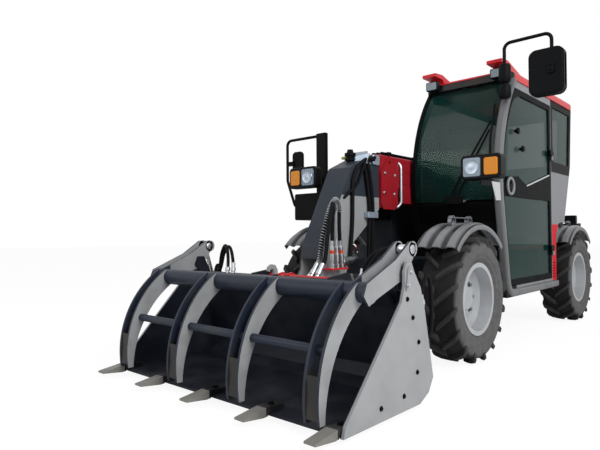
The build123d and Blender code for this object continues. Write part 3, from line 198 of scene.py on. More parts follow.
def tint(tree, share, low, high):
    """A colour between two, by a share."""
    return add(tree, "Mix", {0: share, 6: low, 7: high}, data_type="RGBA").outputs[2]


def relief(tree, height, strength, distance):
    """The bumpy normal of a height."""
    return add(tree, "Bump", {"Height": height, "Strength": strength, "Distance": distance}).outputs[0]


def surface(tree, inputs):
    """Ends a material's tree in the principled shader with these inputs."""
    body = add(tree, "BsdfPrincipled", inputs)
    add(tree, "OutputMaterial", {"Surface": body.outputs[0]})


def enamel(name, paint, dust, roughness=0.42, zones=(), rows=None, shine=0.2, soil=1.0):
    """Sprayed enamel: an even colour with dust low down and in blotches, and a faint orange peel.

    A zone is a second colour with its rules (what, test, limit): what is x, y or z, out, the distance
    from the middle plane, side, which is 1 on a face that looks straight left or right, or row,
    the distance in y from the nearest of evenly spaced rows, given as one of them and their step.
    """
    BLOTCH, PEEL = 0.16, 0.006  # metres across; the peel is coarser than the real 2 mm so that it shows
    DUSTY_Z, CLEAN_Z = 0.2, 1.1
    DUST_LOW, DUST_HIGH = 0.42 * soil, 0.10 * soil  # how far dust covers the paint at those heights
    material, tree = blank(name)
    spot = add(tree, "TexCoord", {})
    at = add(tree, "SeparateXYZ", {0: spot.outputs["Object"]})
    facing = add(tree, "SeparateXYZ", {0: spot.outputs["Normal"]})
    read = dict(zip("xyz", at.outputs))
    for what, socket in (("out", at.outputs[1]), ("side", facing.outputs[1])):
        read[what] = add(tree, "Math", {0: socket}, operation="ABSOLUTE").outputs[0]
    if rows:
        first, step = rows
        shift = add(tree, "Math", {0: at.outputs[1], 1: first}, operation="SUBTRACT")
        read["row"] = add(tree, "Math", {0: shift.outputs[0], 1: step / 2}, operation="PINGPONG").outputs[0]
    colour = linear(paint)
    for second, rules in zones:
        picked = 1.0
        for what, test, limit in rules:
            hit = add(tree, "Math", {0: read[what], 1: limit}, operation=test)
            picked = add(tree, "Math", {0: hit.outputs[0], 1: picked}, operation="MULTIPLY").outputs[0]
        colour = tint(tree, picked, colour, linear(second))
    low = add(tree, "MapRange", {0: at.outputs[2], 1: DUSTY_Z, 2: CLEAN_Z, 3: DUST_LOW, 4: DUST_HIGH})
    dirt = add(tree, "MapRange", {0: noise(tree, BLOTCH, 5.0), 1: 0.42, 2: 0.75, 3: 0.0, 4: 1.0})
    dirt = add(tree, "Math", {0: dirt.outputs[0], 1: low.outputs[0]}, operation="MULTIPLY").outputs[0]
    dull = add(tree, "MapRange", {0: dirt, 2: 0.4, 3: roughness, 4: roughness + 0.25})
    surface(tree, {
        "Base Color": tint(tree, dirt, colour, linear(dust)), "Roughness": dull.outputs[0], "IOR": 1.45,
        "Specular IOR Level": shine, "Normal": relief(tree, noise(tree, PEEL, 1.0), 0.035, 0.002),
    })
    return material


def dress(material, *nodes):
    """Gives CAD nodes a material in place of their plain one."""
    for node in nodes:
        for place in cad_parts[node].material_slots:
            place.material = material


slate_enamel = enamel("slate_enamel_on_steel", "#252a32", "#57544e")
dress(slate_enamel, "chassis_frame", "boom_tower", "counterweight", "tow_hitch", "engine_bay", "engine_block")

# Axles and knuckles: iron castings and forgings, painted black over the rough sand-cast skin. The axles
# are held under the spine, and the knuckles turn on kingpins at their ends.
CORNERS = ("fl", "fr", "rl", "rr")
black_casting = enamel("black_paint_on_cast_iron", "#141518", "#45423c", roughness=0.6)
dress(black_casting, "front_axle", "rear_axle", "front_tie_rod", "rear_tie_rod")
dress(black_casting, *(f"knuckle_{corner}" for corner in CORNERS))

# Tyres: moulded rubber with two rows of bar lugs that meet in a V on the crown and wrap over
# the shoulders. The lug faces stay black, the sidewalls fade to grey with road dust.
AROUND = 120  # steps round the carcass
LUGS_PER_SIDE = 16
LUG_SWEEP = 0.314  # radians from crown to shoulder
SHOULDER_R, FADE = 0.398, 0.02  # the dust starts at this radius and is full so much lower
CARCASS = np.array([  # out from the wheel's centre plane, radius
    (0.1080, 0.229), (0.1080, 0.246), (0.1120, 0.248), (0.1120, 0.256), (0.1165, 0.261), (0.1240, 0.277),
    (0.1262, 0.279), (0.1275, 0.285), (0.1340, 0.307), (0.1368, 0.309), (0.1382, 0.326), (0.1390, 0.345),
    (0.1375, 0.362), (0.1340, 0.376), (0.1220, 0.400), (0.0900, 0.409), (0.0450, 0.412), (0.0, 0.4125),
])
# columns: share of the run, then out and radius of the lug's top and of its root, and half widths of both
LUG_RUN = np.array([
    (0.00, 0.004, 0.4425, 0.004, 0.405, 0.0150, 0.024), (0.30, 0.050, 0.4422, 0.050, 0.404, 0.0155, 0.024),
    (0.58, 0.094, 0.4405, 0.090, 0.401, 0.0165, 0.025), (0.78, 0.126, 0.4330, 0.112, 0.394, 0.0175, 0.025),
    (0.88, 0.1375, 0.4180, 0.120, 0.384, 0.0170, 0.024), (0.96, 0.1400, 0.3930, 0.128, 0.370, 0.0150, 0.021),
    (1.00, 0.1385, 0.3720, 0.130, 0.360, 0.0120, 0.018),
])
MOTTLE, PORE = 0.04, 0.004  # metres across; the pores are coarser than the real ones so that they show


def fit(piece, body, slot, material):
    """A new piece's material and its body; the slot is not used."""
    piece.data.materials.append(material)
    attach(piece, body)
    return piece


def centre_of(node):
    """The middle of a CAD node's box."""
    return np.array(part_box(node)).mean(axis=0)


def mark(piece, name, values):
    """A number at each of a piece's points, for its material to read."""
    piece.data.attributes.new(name, "FLOAT", "POINT").data.foreach_set("value", values)


def round_y(radius, out, turn):
    """Points at a radius about the Y axis, so far out along it, at a turn from +X towards +Z."""
    return np.stack(np.broadcast_arrays(radius * np.cos(turn), out, radius * np.sin(turn)), axis=-1)


def repeated(faces, size, count):
    """The faces of a shape of so many points, once for each of its copies."""
    return (faces[None] + size * np.arange(count)[:, None, None]).reshape(-1, 4).tolist()


rubber, tree = blank("moulded_tyre_rubber")
worn = add(tree, "Attribute", {}, attribute_name="sidewall")
patch = add(tree, "MapRange", {0: noise(tree, MOTTLE, 6.0), 1: 0.3, 2: 0.7, 3: 0.42, 4: 0.62})
dusty = add(tree, "Math", {0: patch.outputs[0], 1: worn.outputs["Fac"]}, operation="MULTIPLY")
surface(tree, {
    "Base Color": tint(tree, dusty.outputs[0], linear("#0b0b0c"), linear("#737373")), "Roughness": 0.75,
    "IOR": 1.5, "Specular IOR Level": 0.25, "Normal": relief(tree, noise(tree, PORE), 0.15, 0.002),
})

turn = np.linspace(0, 2 * pi, AROUND, endpoint=False)[:, None]
out, radius = np.vstack([CARCASS, CARCASS[-2::-1] * (-1, 1)]).T
band = round_y(radius, out, turn)
run, out_o, rad_o, out_i, rad_i, half_o, half_i = LUG_RUN.T
edges = ((out_o, rad_o, half_o), (out_o, rad_o, -half_o), (out_i, rad_i, -half_i), (out_i, rad_i, half_i))
first = np.arange(LUGS_PER_SIDE)[:, None] * 2 * pi / LUGS_PER_SIDE
bars = []
for way, shift in ((1, 0.0), (-1, pi / LUGS_PER_SIDE)):
    lean = first + shift + LUG_SWEEP * run
    loop = [round_y(radius, way * out, lean + half / radius) for out, radius, half in edges]
    bars.append(np.stack(loop, axis=2).reshape(-1, 3))
lug_size = 4 * len(run)
index = np.arange(lug_size).reshape(-1, 4)
lug = np.vstack([panes(np.hstack([index, index[:, :1]])), index[0], index[-1]])
for corner in CORNERS:
    hub = centre_of(f"tyre_{corner}")
    tyre = skin(f"tyre_carcass_{corner}", hub + band, wrap=(True, True))
    points = np.empty(3 * len(tyre.data.vertices), np.float32)
    tyre.data.vertices.foreach_get("co", points)
    lift = np.linalg.norm(points.reshape(-1, 3)[:, [0, 2]] - hub[[0, 2]], axis=1)
    mark(tyre, "sidewall", np.clip((SHOULDER_R - lift) / FADE, 0, 1) * 0.93 + 0.03)
    lugs = solid(f"tyre_lugs_{corner}", hub + np.vstack(bars), repeated(lug, lug_size, 2 * LUGS_PER_SIDE))
    mark(lugs, "sidewall", np.full(len(lugs.data.vertices), 0.26))
    soften = lugs.modifiers.new("worn_edges", "BEVEL")
    soften.width = 0.003
    soften.segments = 2
    for piece in (tyre, lugs):
        fit(piece, f"wheel_{corner}", "tyre_rubber", rubber)
    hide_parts(f"tyre_{corner}")

# Rims: rolled steel with a pressed disc welded in, sprayed silver, each held to its hub by a
# circle of eight plated nuts.
NUTS, NUT_CIRCLE, NUT_R, NUT_HEIGHT = 8, 0.122, 0.013, 0.022
DISC_FACE = 0.002  # out from the rim's middle


def square_to(axis):
    """Two unit directions square to an axis and to each other."""
    across = np.cross(axis, (0.0, 0.0, 1.0) if abs(axis[2]) < 0.9 else (1.0, 0.0, 0.0))
    across /= np.linalg.norm(across)
    return across, np.cross(axis, across)


def studs(name, centres, axis, radius, height):
    """Hexagon bolt heads on washers: rings of six-sided and round radii, one stack at each centre."""
    SIDES = 12
    axis = np.array(axis, float)
    across, beside = square_to(axis)
    turn = np.linspace(0, 2 * pi, SIDES, endpoint=False)
    six = radius / np.cos((turn % (pi / 3)) - pi / 6) * cos(pi / 6)
    washer = np.full(SIDES, 1.45 * radius)
    rings = np.stack([washer, washer, six, six, 0.82 * six, 0 * six])
    rise = np.array([-0.1, 0.22, 0.22, 0.9, 1.0, 1.0]) * height
    spoke = np.cos(turn)[:, None] * across + np.sin(turn)[:, None] * beside
    one = rings[..., None] * spoke + rise[:, None, None] * axis
    points = (np.array(centres)[:, None, None, :] + one).reshape(-1, 3)
    index = np.arange(rings.size).reshape(rings.shape)
    faces = panes(np.hstack([index, index[:, :1]]))
    return solid(name, points, repeated(faces, rings.size, len(centres)), sharp=25)


def plated(name, colour, roughness, metallic=1.0):
    """Bare or plated metal with a faint blotchy sheen, as handling and weather leave it."""
    BLOTCH = 0.05  # metres across
    material, tree = blank(name)
    sheen = add(tree, "MapRange", {
        0: noise(tree, BLOTCH, 4.0), 1: 0.3, 2: 0.7, 3: roughness - 0.06, 4: roughness + 0.1,
    })
    surface(tree, {"Base Color": linear(colour), "Metallic": metallic, "Roughness": sheen.outputs[0]})
    return material


silver_enamel = enamel("silver_enamel_on_steel", "#a7aaae", "#7d796f", roughness=0.35)
zinc = plated("zinc_plated_steel", "#b9bcc0", 0.32)
dull_zinc = plated("weathered_zinc_plate", "#777a7e", 0.5)
turn = np.arange(NUTS) * 2 * pi / NUTS
for corner in CORNERS:
    dress(silver_enamel, f"rim_{corner}")
    side = 1 if corner[1] == "l" else -1
    centres = centre_of(f"rim_{corner}") + round_y(NUT_CIRCLE, side * DISC_FACE, turn)
    nuts = studs(f"wheel_nuts_{corner}", centres, (0, side, 0), NUT_R, NUT_HEIGHT)
    fit(nuts, f"wheel_{corner}", "rim_silver", dull_zinc)

# Mudguards: moulded plastic arches with three raised ribs along them and a turned-down lip,
# bolted to a steel strap that stands on the kingpin, so they steer with the wheel.
RIBS, RIB_HALF, RIB_HEIGHT = 3, 0.033, 0.016
GUARD_R, GUARD_ANGLE, GUARD_ROWS, LIP, INNER_LIP = 0.512, 46, 49, 0.034, 0.010
GUARD_Y = (0.457, 0.765)  # inner and outer edge
STRAP = [(0.530, 0.612), (0.530, 0.624), (0.457, 0.624), (0.457, 0.950), (0.445, 0.950), (0.445, 0.612)]
STRAP_HALF = 0.04
BAR_TOP, BAR_HALF, BAR_THICK = 1.0085, 0.165, 0.008
HOOPS, HOOP_SIZE = (("rear", -0.13), ("front", 0.13)), (0.034, 0.042)
# the first is the size of the patches of painted highlight on the mudguard ribs
HIGHLIGHT_PATCH, GRIT = 0.05, 0.004  # metres across; the grit is coarser than the real grain so that it shows
FLAT = ((1, 0, 0), (0, 1, 0))  # the two directions of an outline that is pushed up


def slab(name, outline, origin, x_dir, y_dir, depth, bevel):
    """A flat outline pushed by a depth along the normal of its two directions, its edges rounded."""
    outline, origin = np.array(outline, float), np.array(origin, float)
    x_dir, y_dir = np.array(x_dir, float), np.array(y_dir, float)
    face = origin + outline[:, :1] * x_dir + outline[:, 1:] * y_dir
    piece = skin(name, np.stack([face, face + depth * np.cross(x_dir, y_dir)]), caps=True)
    if bevel:
        edge = piece.modifiers.new("rounded_edges", "BEVEL")
        edge.width = bevel
        edge.segments = 3
        edge.limit_method = "ANGLE"
        edge.harden_normals = True
    return piece


def rectangle(width, height, radius=0.0):
    """A rectangle's outline about its centre, its corners as short arcs if radius is given."""
    if not radius:
        return np.array([(-1, -1), (1, -1), (1, 1), (-1, 1)]) * (width / 2, height / 2)
    turn = np.linspace(0, pi / 2, 6)
    start = np.array([0, pi / 2, pi, 3 * pi / 2])[:, None]
    centre = np.array([(1, 1), (-1, 1), (-1, -1), (1, -1)]) * (width / 2 - radius, height / 2 - radius)
    arc = np.stack([np.cos(start + turn), np.sin(start + turn)], axis=-1) * radius
    return (centre[:, None, :] + arc).reshape(-1, 2)


def along(path, up):
    """Two unit directions square to a path at each of its points; up is a direction it never runs along."""
    ahead = np.gradient(path, axis=0)
    ahead /= np.linalg.norm(ahead, axis=1, keepdims=True)
    across = np.cross(ahead, np.array(up, float))
    across /= np.linalg.norm(across, axis=1, keepdims=True)
    return np.cross(across, ahead), across


def sweep(name, path, outline, up):
    """A closed outline carried along a path, turned by the two directions that are square to it."""
    beside, across = along(path, up)
    grid = path[:, None] + outline[:, :1] * beside[:, None] + outline[:, 1:] * across[:, None]
    return skin(name, grid, caps=True)


# The black plastic is painted lighter grey in patches on its rib tops and lips, where its gloss would catch
# the sky: a painted highlight, set by the crown mark.
guard_plastic, tree = blank("black_mudguard_polypropylene_dusty_on_its_ribs")
crown = add(tree, "Attribute", {}, attribute_name="crown")
rib_highlight = add(tree, "MapRange", {0: noise(tree, HIGHLIGHT_PATCH, 4.0), 1: 0.3, 2: 0.7, 3: 0.8, 4: 1.0})
rib_highlight = add(tree, "Math", {0: rib_highlight.outputs[0], 1: crown.outputs["Fac"]}, operation="MULTIPLY")
surface(tree, {
    "Base Color": tint(tree, rib_highlight.outputs[0], linear("#17181a"), linear("#7d7f82")), "Roughness": 0.32,
    "IOR": 1.49, "Specular IOR Level": 0.35, "Normal": relief(tree, noise(tree, GRIT), 0.1, 0.001),
})
black_enamel = enamel("black_enamel_on_steel", "#0c0d0f", "#26241f", roughness=0.45, shine=0.03)

across = np.concatenate([GUARD_Y[:1], np.linspace(*GUARD_Y, 73), GUARD_Y[1:]])
rib_y = GUARD_Y[0] + (np.arange(RIBS) + 0.5) * (GUARD_Y[1] - GUARD_Y[0]) / RIBS
lift = np.exp(-(((across[:, None] - rib_y) / RIB_HALF) ** 6)).sum(axis=1)
radius = GUARD_R + RIB_HEIGHT * lift
radius[0] -= INNER_LIP
radius[-1] -= LIP
# The lips take the full painted highlight as well.
lift[[0, 1, -2, -1]] = 0.9
turn = np.radians(np.linspace(90 - GUARD_ANGLE, 90 + GUARD_ANGLE, GUARD_ROWS))[:, None]
ring = np.linspace(0, 2 * pi, 40)
hoop = np.stack([HOOP_SIZE[0] * np.cos(ring), 0 * ring, HOOP_SIZE[1] * np.sin(ring)], axis=-1)
for corner in CORNERS:
    hub = centre_of(f"tyre_{corner}")
    side = 1 if corner[1] == "l" else -1
    arch = round_y(radius, side * across, turn) + (hub[0], 0, hub[2])
    guard = skin(f"mudguard_{corner}", arch, wrap=(False, False))
    mark(guard, "crown", np.tile(lift, GUARD_ROWS))
    wall = guard.modifiers.new("moulded_wall", "SOLIDIFY")
    wall.thickness = 0.006
    wall.offset = -1
    fit(guard, f"steer_{corner}", "fender_plastic", guard_plastic)
    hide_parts(f"fender_{corner}")
    strap = slab(
        f"mudguard_strap_{corner}", STRAP, (hub[0] + side * STRAP_HALF, 0, 0), (0, side, 0), (0, 0, 1),
        2 * STRAP_HALF, 0.002,
    )
    fit(strap, f"steer_{corner}", "fender_plastic", black_enamel)
    bar_y = side * rib_y[1]
    bar = slab(
        f"mudguard_bar_{corner}", rectangle(2 * BAR_HALF, 0.034, 0.012), (hub[0], bar_y, BAR_TOP - BAR_THICK),
        *FLAT, BAR_THICK, 0.002,
    )
    fit(bar, f"steer_{corner}", "fender_plastic", dull_zinc)
    for name, place in HOOPS:
        path = np.array([hub[0] + place, bar_y, BAR_TOP - HOOP_SIZE[0]]) + hoop
        loop = sweep(f"mudguard_hoop_{corner}_{name}", path, rectangle(0.026, 0.007), (0, 1, 0))
        fit(loop, f"steer_{corner}", "fender_plastic", dull_zinc)

# Cab frame: bent steel tube and pressed panels welded together. The pillar, sill and quarter panel are
# grey enamel, the panel's foot is red and the frames round the windows are black.
DOOR_REAR, FRONT_X = -1.206, -0.30
WAIST_Z, FOOT_Z = 1.47, 0.975
TUBE_Y, TUBE = 0.683, (0.064, 0.060)
SILL = [(-1.31, 0.4195), (-0.113, 0.4195), (0.022, 1.16)]
PILLAR = ((0.022, 1.16), (-0.008, 1.64), (-0.280, 2.14))
GREY, RED, BLACK = "#84868a", "#c4202b", "#0c0d0f"


def eased(start, corner, end, steps):
    """Points of the quadratic curve from start to end that is drawn towards a corner."""
    share = np.linspace(0, 1, steps)[:, None]
    return (1 - share) ** 2 * start + 2 * share * (1 - share) * corner + share**2 * end


def rounded(points, radius, steps=8):
    """A path through points, each corner eased by a quadratic curve that starts a radius before it."""
    points = np.array(points, float)
    run = [points[:1]]
    for before, corner, after in zip(points, points[1:], points[2:]):
        start, end = (
            corner + (other - corner) * min(0.5, radius / np.linalg.norm(other - corner))
            for other in (before, after)
        )
        run.append(eased(start, corner, end, steps))
    return np.vstack(run + [points[-1:]])


def through(first, middle, last, count):
    """Points of the circular arc through three flat points, at equal turns along it."""
    a, b, c = (np.array(point, float) for point in (first, middle, last))
    centre = np.linalg.solve(2 * np.stack([b - a, c - a]), np.array([b @ b - a @ a, c @ c - a @ a]))
    radius = np.linalg.norm(a - centre)
    start, end = (np.arctan2(*(point - centre)[::-1]) for point in (a, c))
    turn = np.linspace(start, end, count)
    return centre + radius * np.stack([np.cos(turn), np.sin(turn)], axis=-1)


panel_enamel = enamel("grey_red_and_black_cab_enamel", GREY, "#6b675f", roughness=0.45, shine=0.05, zones=(
    (BLACK, (("x", "GREATER_THAN", FRONT_X),)),
    (RED, (("x", "LESS_THAN", DOOR_REAR), ("z", "LESS_THAN", FOOT_Z))),
    (BLACK, (("x", "LESS_THAN", DOOR_REAR), ("z", "GREATER_THAN", WAIST_Z))),
))
tube_enamel = enamel("grey_enamel_on_bent_tube", "#66686a", "#55524c", roughness=0.3)
dress(panel_enamel, "cab_left_frame", "cab_rear_wall")
dress(black_enamel, "cab_right_wall", "cab_front", "cab_floor")
x, z = np.vstack([rounded(SILL, 0.10)[:-1], through(*PILLAR, 40)]).T
tube_path = np.stack([x, np.full(len(x), TUBE_Y), z], axis=-1)
pillar = sweep("cab_pillar_tube", tube_path, rectangle(*TUBE, 0.018), (0, 1, 0))
fit(pillar, "chassis", "light_grey_paint", tube_enamel)

# Door: a welded frame in black enamel round two panes, with a black panel that covers the foot of the
# upper pane, a light trim strip along it, a ring handle, two stay knobs and moulded hinge covers.
PANEL_Y = 0.6805
PANEL = [(-0.112, 1.296), (-0.122, 1.345), (-0.361, 1.362), (-0.558, 1.302), (-1.146, 1.437), (-1.146, 1.296)]
STRIP = [(-0.558, 1.302), (-0.561, 1.290), (-1.146, 1.425), (-1.146, 1.437)]
GUSSET_CURVE = np.array([(-0.214, 1.890), (-0.304, 2.041), (-0.490, 2.041)])
GUSSET_BACK = [(-0.490, 2.050), (-0.296, 2.050), (-0.200, 1.890)]
LOCK = [(0, 0.0), (0.030, 0.0), (0.032, 0.006), (0.026, 0.012), (0.012, 0.013), (0, 0.010)]
KNOB = [(0, 0), (0.012, 0), (0.012, 0.014), (0.024, 0.018), (0.027, 0.030), (0.020, 0.040), (0, 0.042)]
KNOBS = ((-0.324, 1.731), (-0.431, 1.595))
HINGE_Z = (0.755, 1.640)
SIDE_ON = ((1, 0, 0), (0, 0, 1))  # the two directions of an outline that is pushed to the right


def lathe(name, profile, origin, axis, columns=28):
    """A profile of (radius, distance) rows turned about an axis through the origin."""
    profile, axis = np.array(profile, float), np.array(axis, float)
    axis /= np.linalg.norm(axis)
    across, beside = square_to(axis)
    turn = np.linspace(0, 2 * pi, columns, endpoint=False)[:, None]
    spoke = np.cos(turn) * across + np.sin(turn) * beside
    grid = np.array(origin) + profile[:, :1, None] * spoke + profile[:, 1:, None] * axis
    return skin(name, grid, caps=True)


def moulded(name, colour, roughness=0.55, grit=0.004):
    """Moulded plastic: one colour right through, with a fine grained skin that breaks up its shine.

    The grit is in metres across, coarser than the real one so that it shows.
    """
    FADE = 0.12  # metres across a patch that light has bleached
    material, tree = blank(name)
    bleached = (*(1.35 * part for part in linear(colour)[:3]), 1.0)
    surface(tree, {
        "Base Color": tint(tree, noise(tree, FADE, 4.0), linear(colour), bleached), "Roughness": roughness,
        "IOR": 1.49, "Specular IOR Level": 0.07, "Normal": relief(tree, noise(tree, grit), 0.12, 0.001),
    })
    return material


door_enamel = enamel("black_door_enamel_with_grey_ring", BLACK, "#26241f", roughness=0.45, shine=0.03, zones=(
    ("#84878a", (("x", "GREATER_THAN", -0.28), ("y", "GREATER_THAN", 0.6905))),
))
trim_enamel = enamel("light_grey_trim_enamel", "#b4b6b8", "#8d897f")
black_plastic = moulded("grained_black_plastic", "#090a0c", roughness=0.5)
PLASTIC = ("black_plastic", black_plastic)  # slot and material
dress(door_enamel, "door_frame")
gusset = np.vstack([eased(*GUSSET_CURVE, 16), GUSSET_BACK])[::-1]
# columns: name, outline, out from the pane, thickness, bevel, slot, material
for name, outline, out, thick, bevel, slot, material in (
    ("door_corner_gusset", gusset, 0.009, 0.009, 0.001, "black_paint", black_enamel),
    ("door_black_panel", PANEL, 0.009, 0.009, 0.001, "black_paint", black_enamel),
    ("door_trim_strip", STRIP, 0.0115, 0.003, 0.0, "light_grey_paint", trim_enamel),
):
    fit(slab(name, outline, (0, PANEL_Y + out, 0), *SIDE_ON, thick, bevel), "door", slot, material)
fit(lathe("door_lock", LOCK, (-0.179, 0.690, 1.262), (0, 1, 0)), "door", *PLASTIC)
for row, (x, z) in enumerate(KNOBS):
    fit(lathe(f"door_stay_knob_{row}", KNOB, (x, PANEL_Y - 0.001, z), (0, 1, 0)), "door", *PLASTIC)
for row, z in enumerate(HINGE_Z):
    cover = slab(
        f"door_hinge_cover_{row}", rectangle(0.085, 0.052, 0.014), (-1.150, 0.7185, z), *SIDE_ON,
        0.0165, 0.005,
    )
    fit(cover, "door", *PLASTIC)

# Rear window stay: a steel stem with a moulded knob, screwed into the cab's rear corner,
# by which the rear pane is held.
STAY = [
    (0, -0.012), (0.007, -0.012), (0.007, 0.052), (0.019, 0.056), (0.023, 0.070), (0.018, 0.086), (0, 0.089),
]
fit(lathe("rear_window_knob", STAY, (-1.832, 0.625, 1.585), (-1, 0.15, 0.05)), "chassis", *PLASTIC)

# Windows: tempered glass with a green tint, 5 to 8 mm thick, set in the black frames. It is dark
# against the cab's inside and mirrors more of the pale surround the flatter it is seen.
glass, tree = blank("green_tinted_glass")
facing = add(tree, "LayerWeight", {"Blend": 0.25})
clear = add(tree, "MapRange", {0: facing.outputs["Fresnel"], 1: 0.0, 2: 0.7, 3: 0.36, 4: 0.82})
surface(tree, {
    "Base Color": linear("#143834"), "Roughness": 0.04, "IOR": 1.5, "Specular IOR Level": 0.3,
    "Specular Tint": linear("#9cc4ae"), "Alpha": clear.outputs[0],
})
dress(glass, "cab_glass", "door_glass")

# Windscreen wiper: a plastic motor box under the glass, two thin arms of bent steel rod on it,
# and an upright rubber blade along the pillar.
WIPER_ARMS = (
    ((0.060, 0.300, 1.185), (0.046, 0.405, 1.40), (0.022, 0.530, 1.62), (-0.018, 0.610, 1.78)),
    ((0.060, 0.360, 1.185), (0.046, 0.455, 1.40), (0.026, 0.545, 1.58), (0.000, 0.605, 1.71)),
)
WIPER_BLADE = ((0.036, 0.618, 1.42), (0.014, 0.618, 1.64), (-0.058, 0.618, 1.86), (-0.085, 0.618, 1.92))
FRONT_ON = ((0, 1, 0), (0, 0, 1))  # the two directions of an outline that is pushed forward


def spline(points, count):
    """A smooth path through points: a cubic on each stretch, its slopes set by the points on either side."""
    points = np.array(points, float)
    slope = np.gradient(points, axis=0)
    place = np.linspace(0, len(points) - 1, count)
    index = np.minimum(place.astype(int), len(points) - 2)
    t = (place - index)[:, None]
    a, b, da, db = points[index], points[index + 1], slope[index], slope[index + 1]
    return (
        (2 * t**3 - 3 * t**2 + 1) * a + (t**3 - 2 * t**2 + t) * da
        + (3 * t**2 - 2 * t**3) * b + (t**3 - t**2) * db
    )


def circle(radius, columns=14):
    """A circle's points about the origin."""
    turn = np.linspace(0, 2 * pi, columns, endpoint=False)
    return radius * np.stack([np.cos(turn), np.sin(turn)], axis=-1)


for row, points in enumerate(WIPER_ARMS):
    arm = sweep(f"wiper_arm_{row}", spline(points, 30), circle(0.008, 10), (0, 1, 0.3))
    fit(arm, "chassis", "black_paint", black_enamel)
blade = sweep("wiper_blade", spline(WIPER_BLADE, 30), rectangle(0.012, 0.020, 0.004), (0, 1, 0))
fit(blade, "chassis", *PLASTIC)
box = slab("wiper_motor_box", rectangle(0.130, 0.070, 0.012), (0.030, 0.330, 1.165), *FRONT_ON, 0.048, 0.006)
fit(box, "chassis", *PLASTIC)

# Seat: foam cushions in black woven cloth on an orange moulded shell, with a plain plastic box
# under it that is bolted to the cab's floor.
RIB, KNIT = 0.004 / pi, 0.002  # metres from rib to rib, and across the knots of its threads


def signed_power(value, power):
    """A power of the value's size, with the value's sign."""
    return np.sign(value) * np.abs(value) ** power


def pillow(name, size, centre, lean=0.0, crown=0.16, rows=40, columns=64):
    """A crowned pad: a rounded box from signed powers of sine and cosine, swollen, then leant back."""
    up = np.linspace(-pi / 2, pi / 2, rows)[:, None]
    turn = np.linspace(0, 2 * pi, columns, endpoint=False)
    x = signed_power(np.cos(up), 0.35) * signed_power(np.cos(turn), 0.30)
    y = signed_power(np.cos(up), 0.35) * signed_power(np.sin(turn), 0.30)
    z = np.broadcast_to(signed_power(np.sin(up), 0.45), x.shape) * (1 + crown * (1 - x**2) * (1 - y**2))
    points = np.stack([x, y, z], axis=-1) * np.array(size) / 2
    return skin(name, points @ np.array(Matrix.Rotation(lean, 3, "Y")).T + np.array(centre))


cloth, tree = blank("woven_black_seat_cloth")
place = add(tree, "TexCoord", {}).outputs["Object"]
weave = add(tree, "TexWave", {"Vector": place, "Scale": 1 / (pi * RIB), "Distortion": 0.6})
knit = noise(tree, KNIT)
raised = add(tree, "Math", {0: weave.outputs["Fac"], 1: knit}, operation="ADD")
surface(tree, {
    "Base Color": tint(tree, knit, linear("#131416"), linear("#303236")), "Roughness": 0.9,
    "Sheen Weight": 0.3, "Normal": relief(tree, raised.outputs[0], 0.4, 0.001),
})
seat_y = centre_of("seat")[1]
orange_shell = moulded("orange_moulded_seat_shell", "#c8452a", roughness=0.4)
cushion = pillow("seat_cushion", (0.50, 0.44, 0.13), (-0.93, seat_y, 0.826))
back = pillow("seat_back", (0.64, 0.42, 0.12), (-1.145, seat_y, 1.185), lean=radians(-80))
for piece in (cushion, back):
    fit(piece, "chassis", "seat_fabric", cloth)
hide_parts("seat")
base = slab("seat_base", rectangle(0.40, 0.32, 0.04), (-0.95, seat_y + 0.01, 0.43), *FLAT, 0.335, 0.012)
fit(base, "chassis", *PLASTIC)
shell = slab("seat_shell", rectangle(0.53, 0.43, 0.06), (-0.935, seat_y, 0.745), *FLAT, 0.04, 0.01)
fit(shell, "chassis", "seat_fabric", orange_shell)

# Steering column and wheel: a moulded cowl and a rim in black plastic, on a column
# that stands on the cab's floor.
dress(black_plastic, "steering_console")

# Roof: a moulded cap in red gel coat, with a horn over each work lamp and a black band under them,
# bonded to the cab's top frame.
roof_red = enamel("red_gel_coat_roof_with_black_brow", RED, "#8f6d62", roughness=0.28, zones=(
    (BLACK, (("x", "GREATER_THAN", FRONT_X), ("z", "LESS_THAN", 2.205))),
))
dress(roof_red, "cab_roof")

# Lamps: black moulded housings with a fluted lens each; the head lamps share theirs with the amber
# turn signals, the work lamps are blocks of small reflectors, and the tail lamps are red.


def lens(name, colour, metallic, flute):
    """A moulded lens: a clear colour with upright flutes, a given distance apart, on its face."""
    material, tree = blank(name)
    place = add(tree, "TexCoord", {}).outputs["Object"]
    ribs = add(tree, "TexWave", {"Vector": place, "Scale": 1 / (pi * flute)}, bands_direction="Y")
    ribs = ribs.outputs["Fac"]
    darker = (*(0.88 * part for part in linear(colour)[:3]), 1.0)
    surface(tree, {
        "Base Color": tint(tree, ribs, darker, linear(colour)), "Metallic": metallic, "Roughness": 0.2,
        "Specular IOR Level": 0.25, "Coat Weight": 0.08, "Coat Roughness": 0.03,
        "Normal": relief(tree, ribs, 0.3, 0.002),
    })
    return material


lamp_black = moulded("black_lamp_housing", "#121315", roughness=0.4)
head_lens = lens("silvered_head_lamp_lens", "#7f8b97", 0.2, 0.022)
reflector_silver = plated("aluminised_reflector", "#9aa4b0", 0.34)
amber_lens = lens("amber_turn_signal_lens", "#d9860a", 0.0, 0.008)
red_lens = lens("red_tail_lamp_lens", "#b3141c", 0.0, 0.008)
work_lens = lens("work_lamp_reflectors", "#66727a", 0.2, 0.018)
HEAD_Z, HEAD_SIZE, HEAD_SINK = 1.375, (0.300, 0.180), 0.004
# columns: name, front face, inner side, way out, depth
HEAD_LAMPS = (("left", 0.390, 0.545, 1, 0.100), ("right", 0.750, -0.553, -1, 0.080))
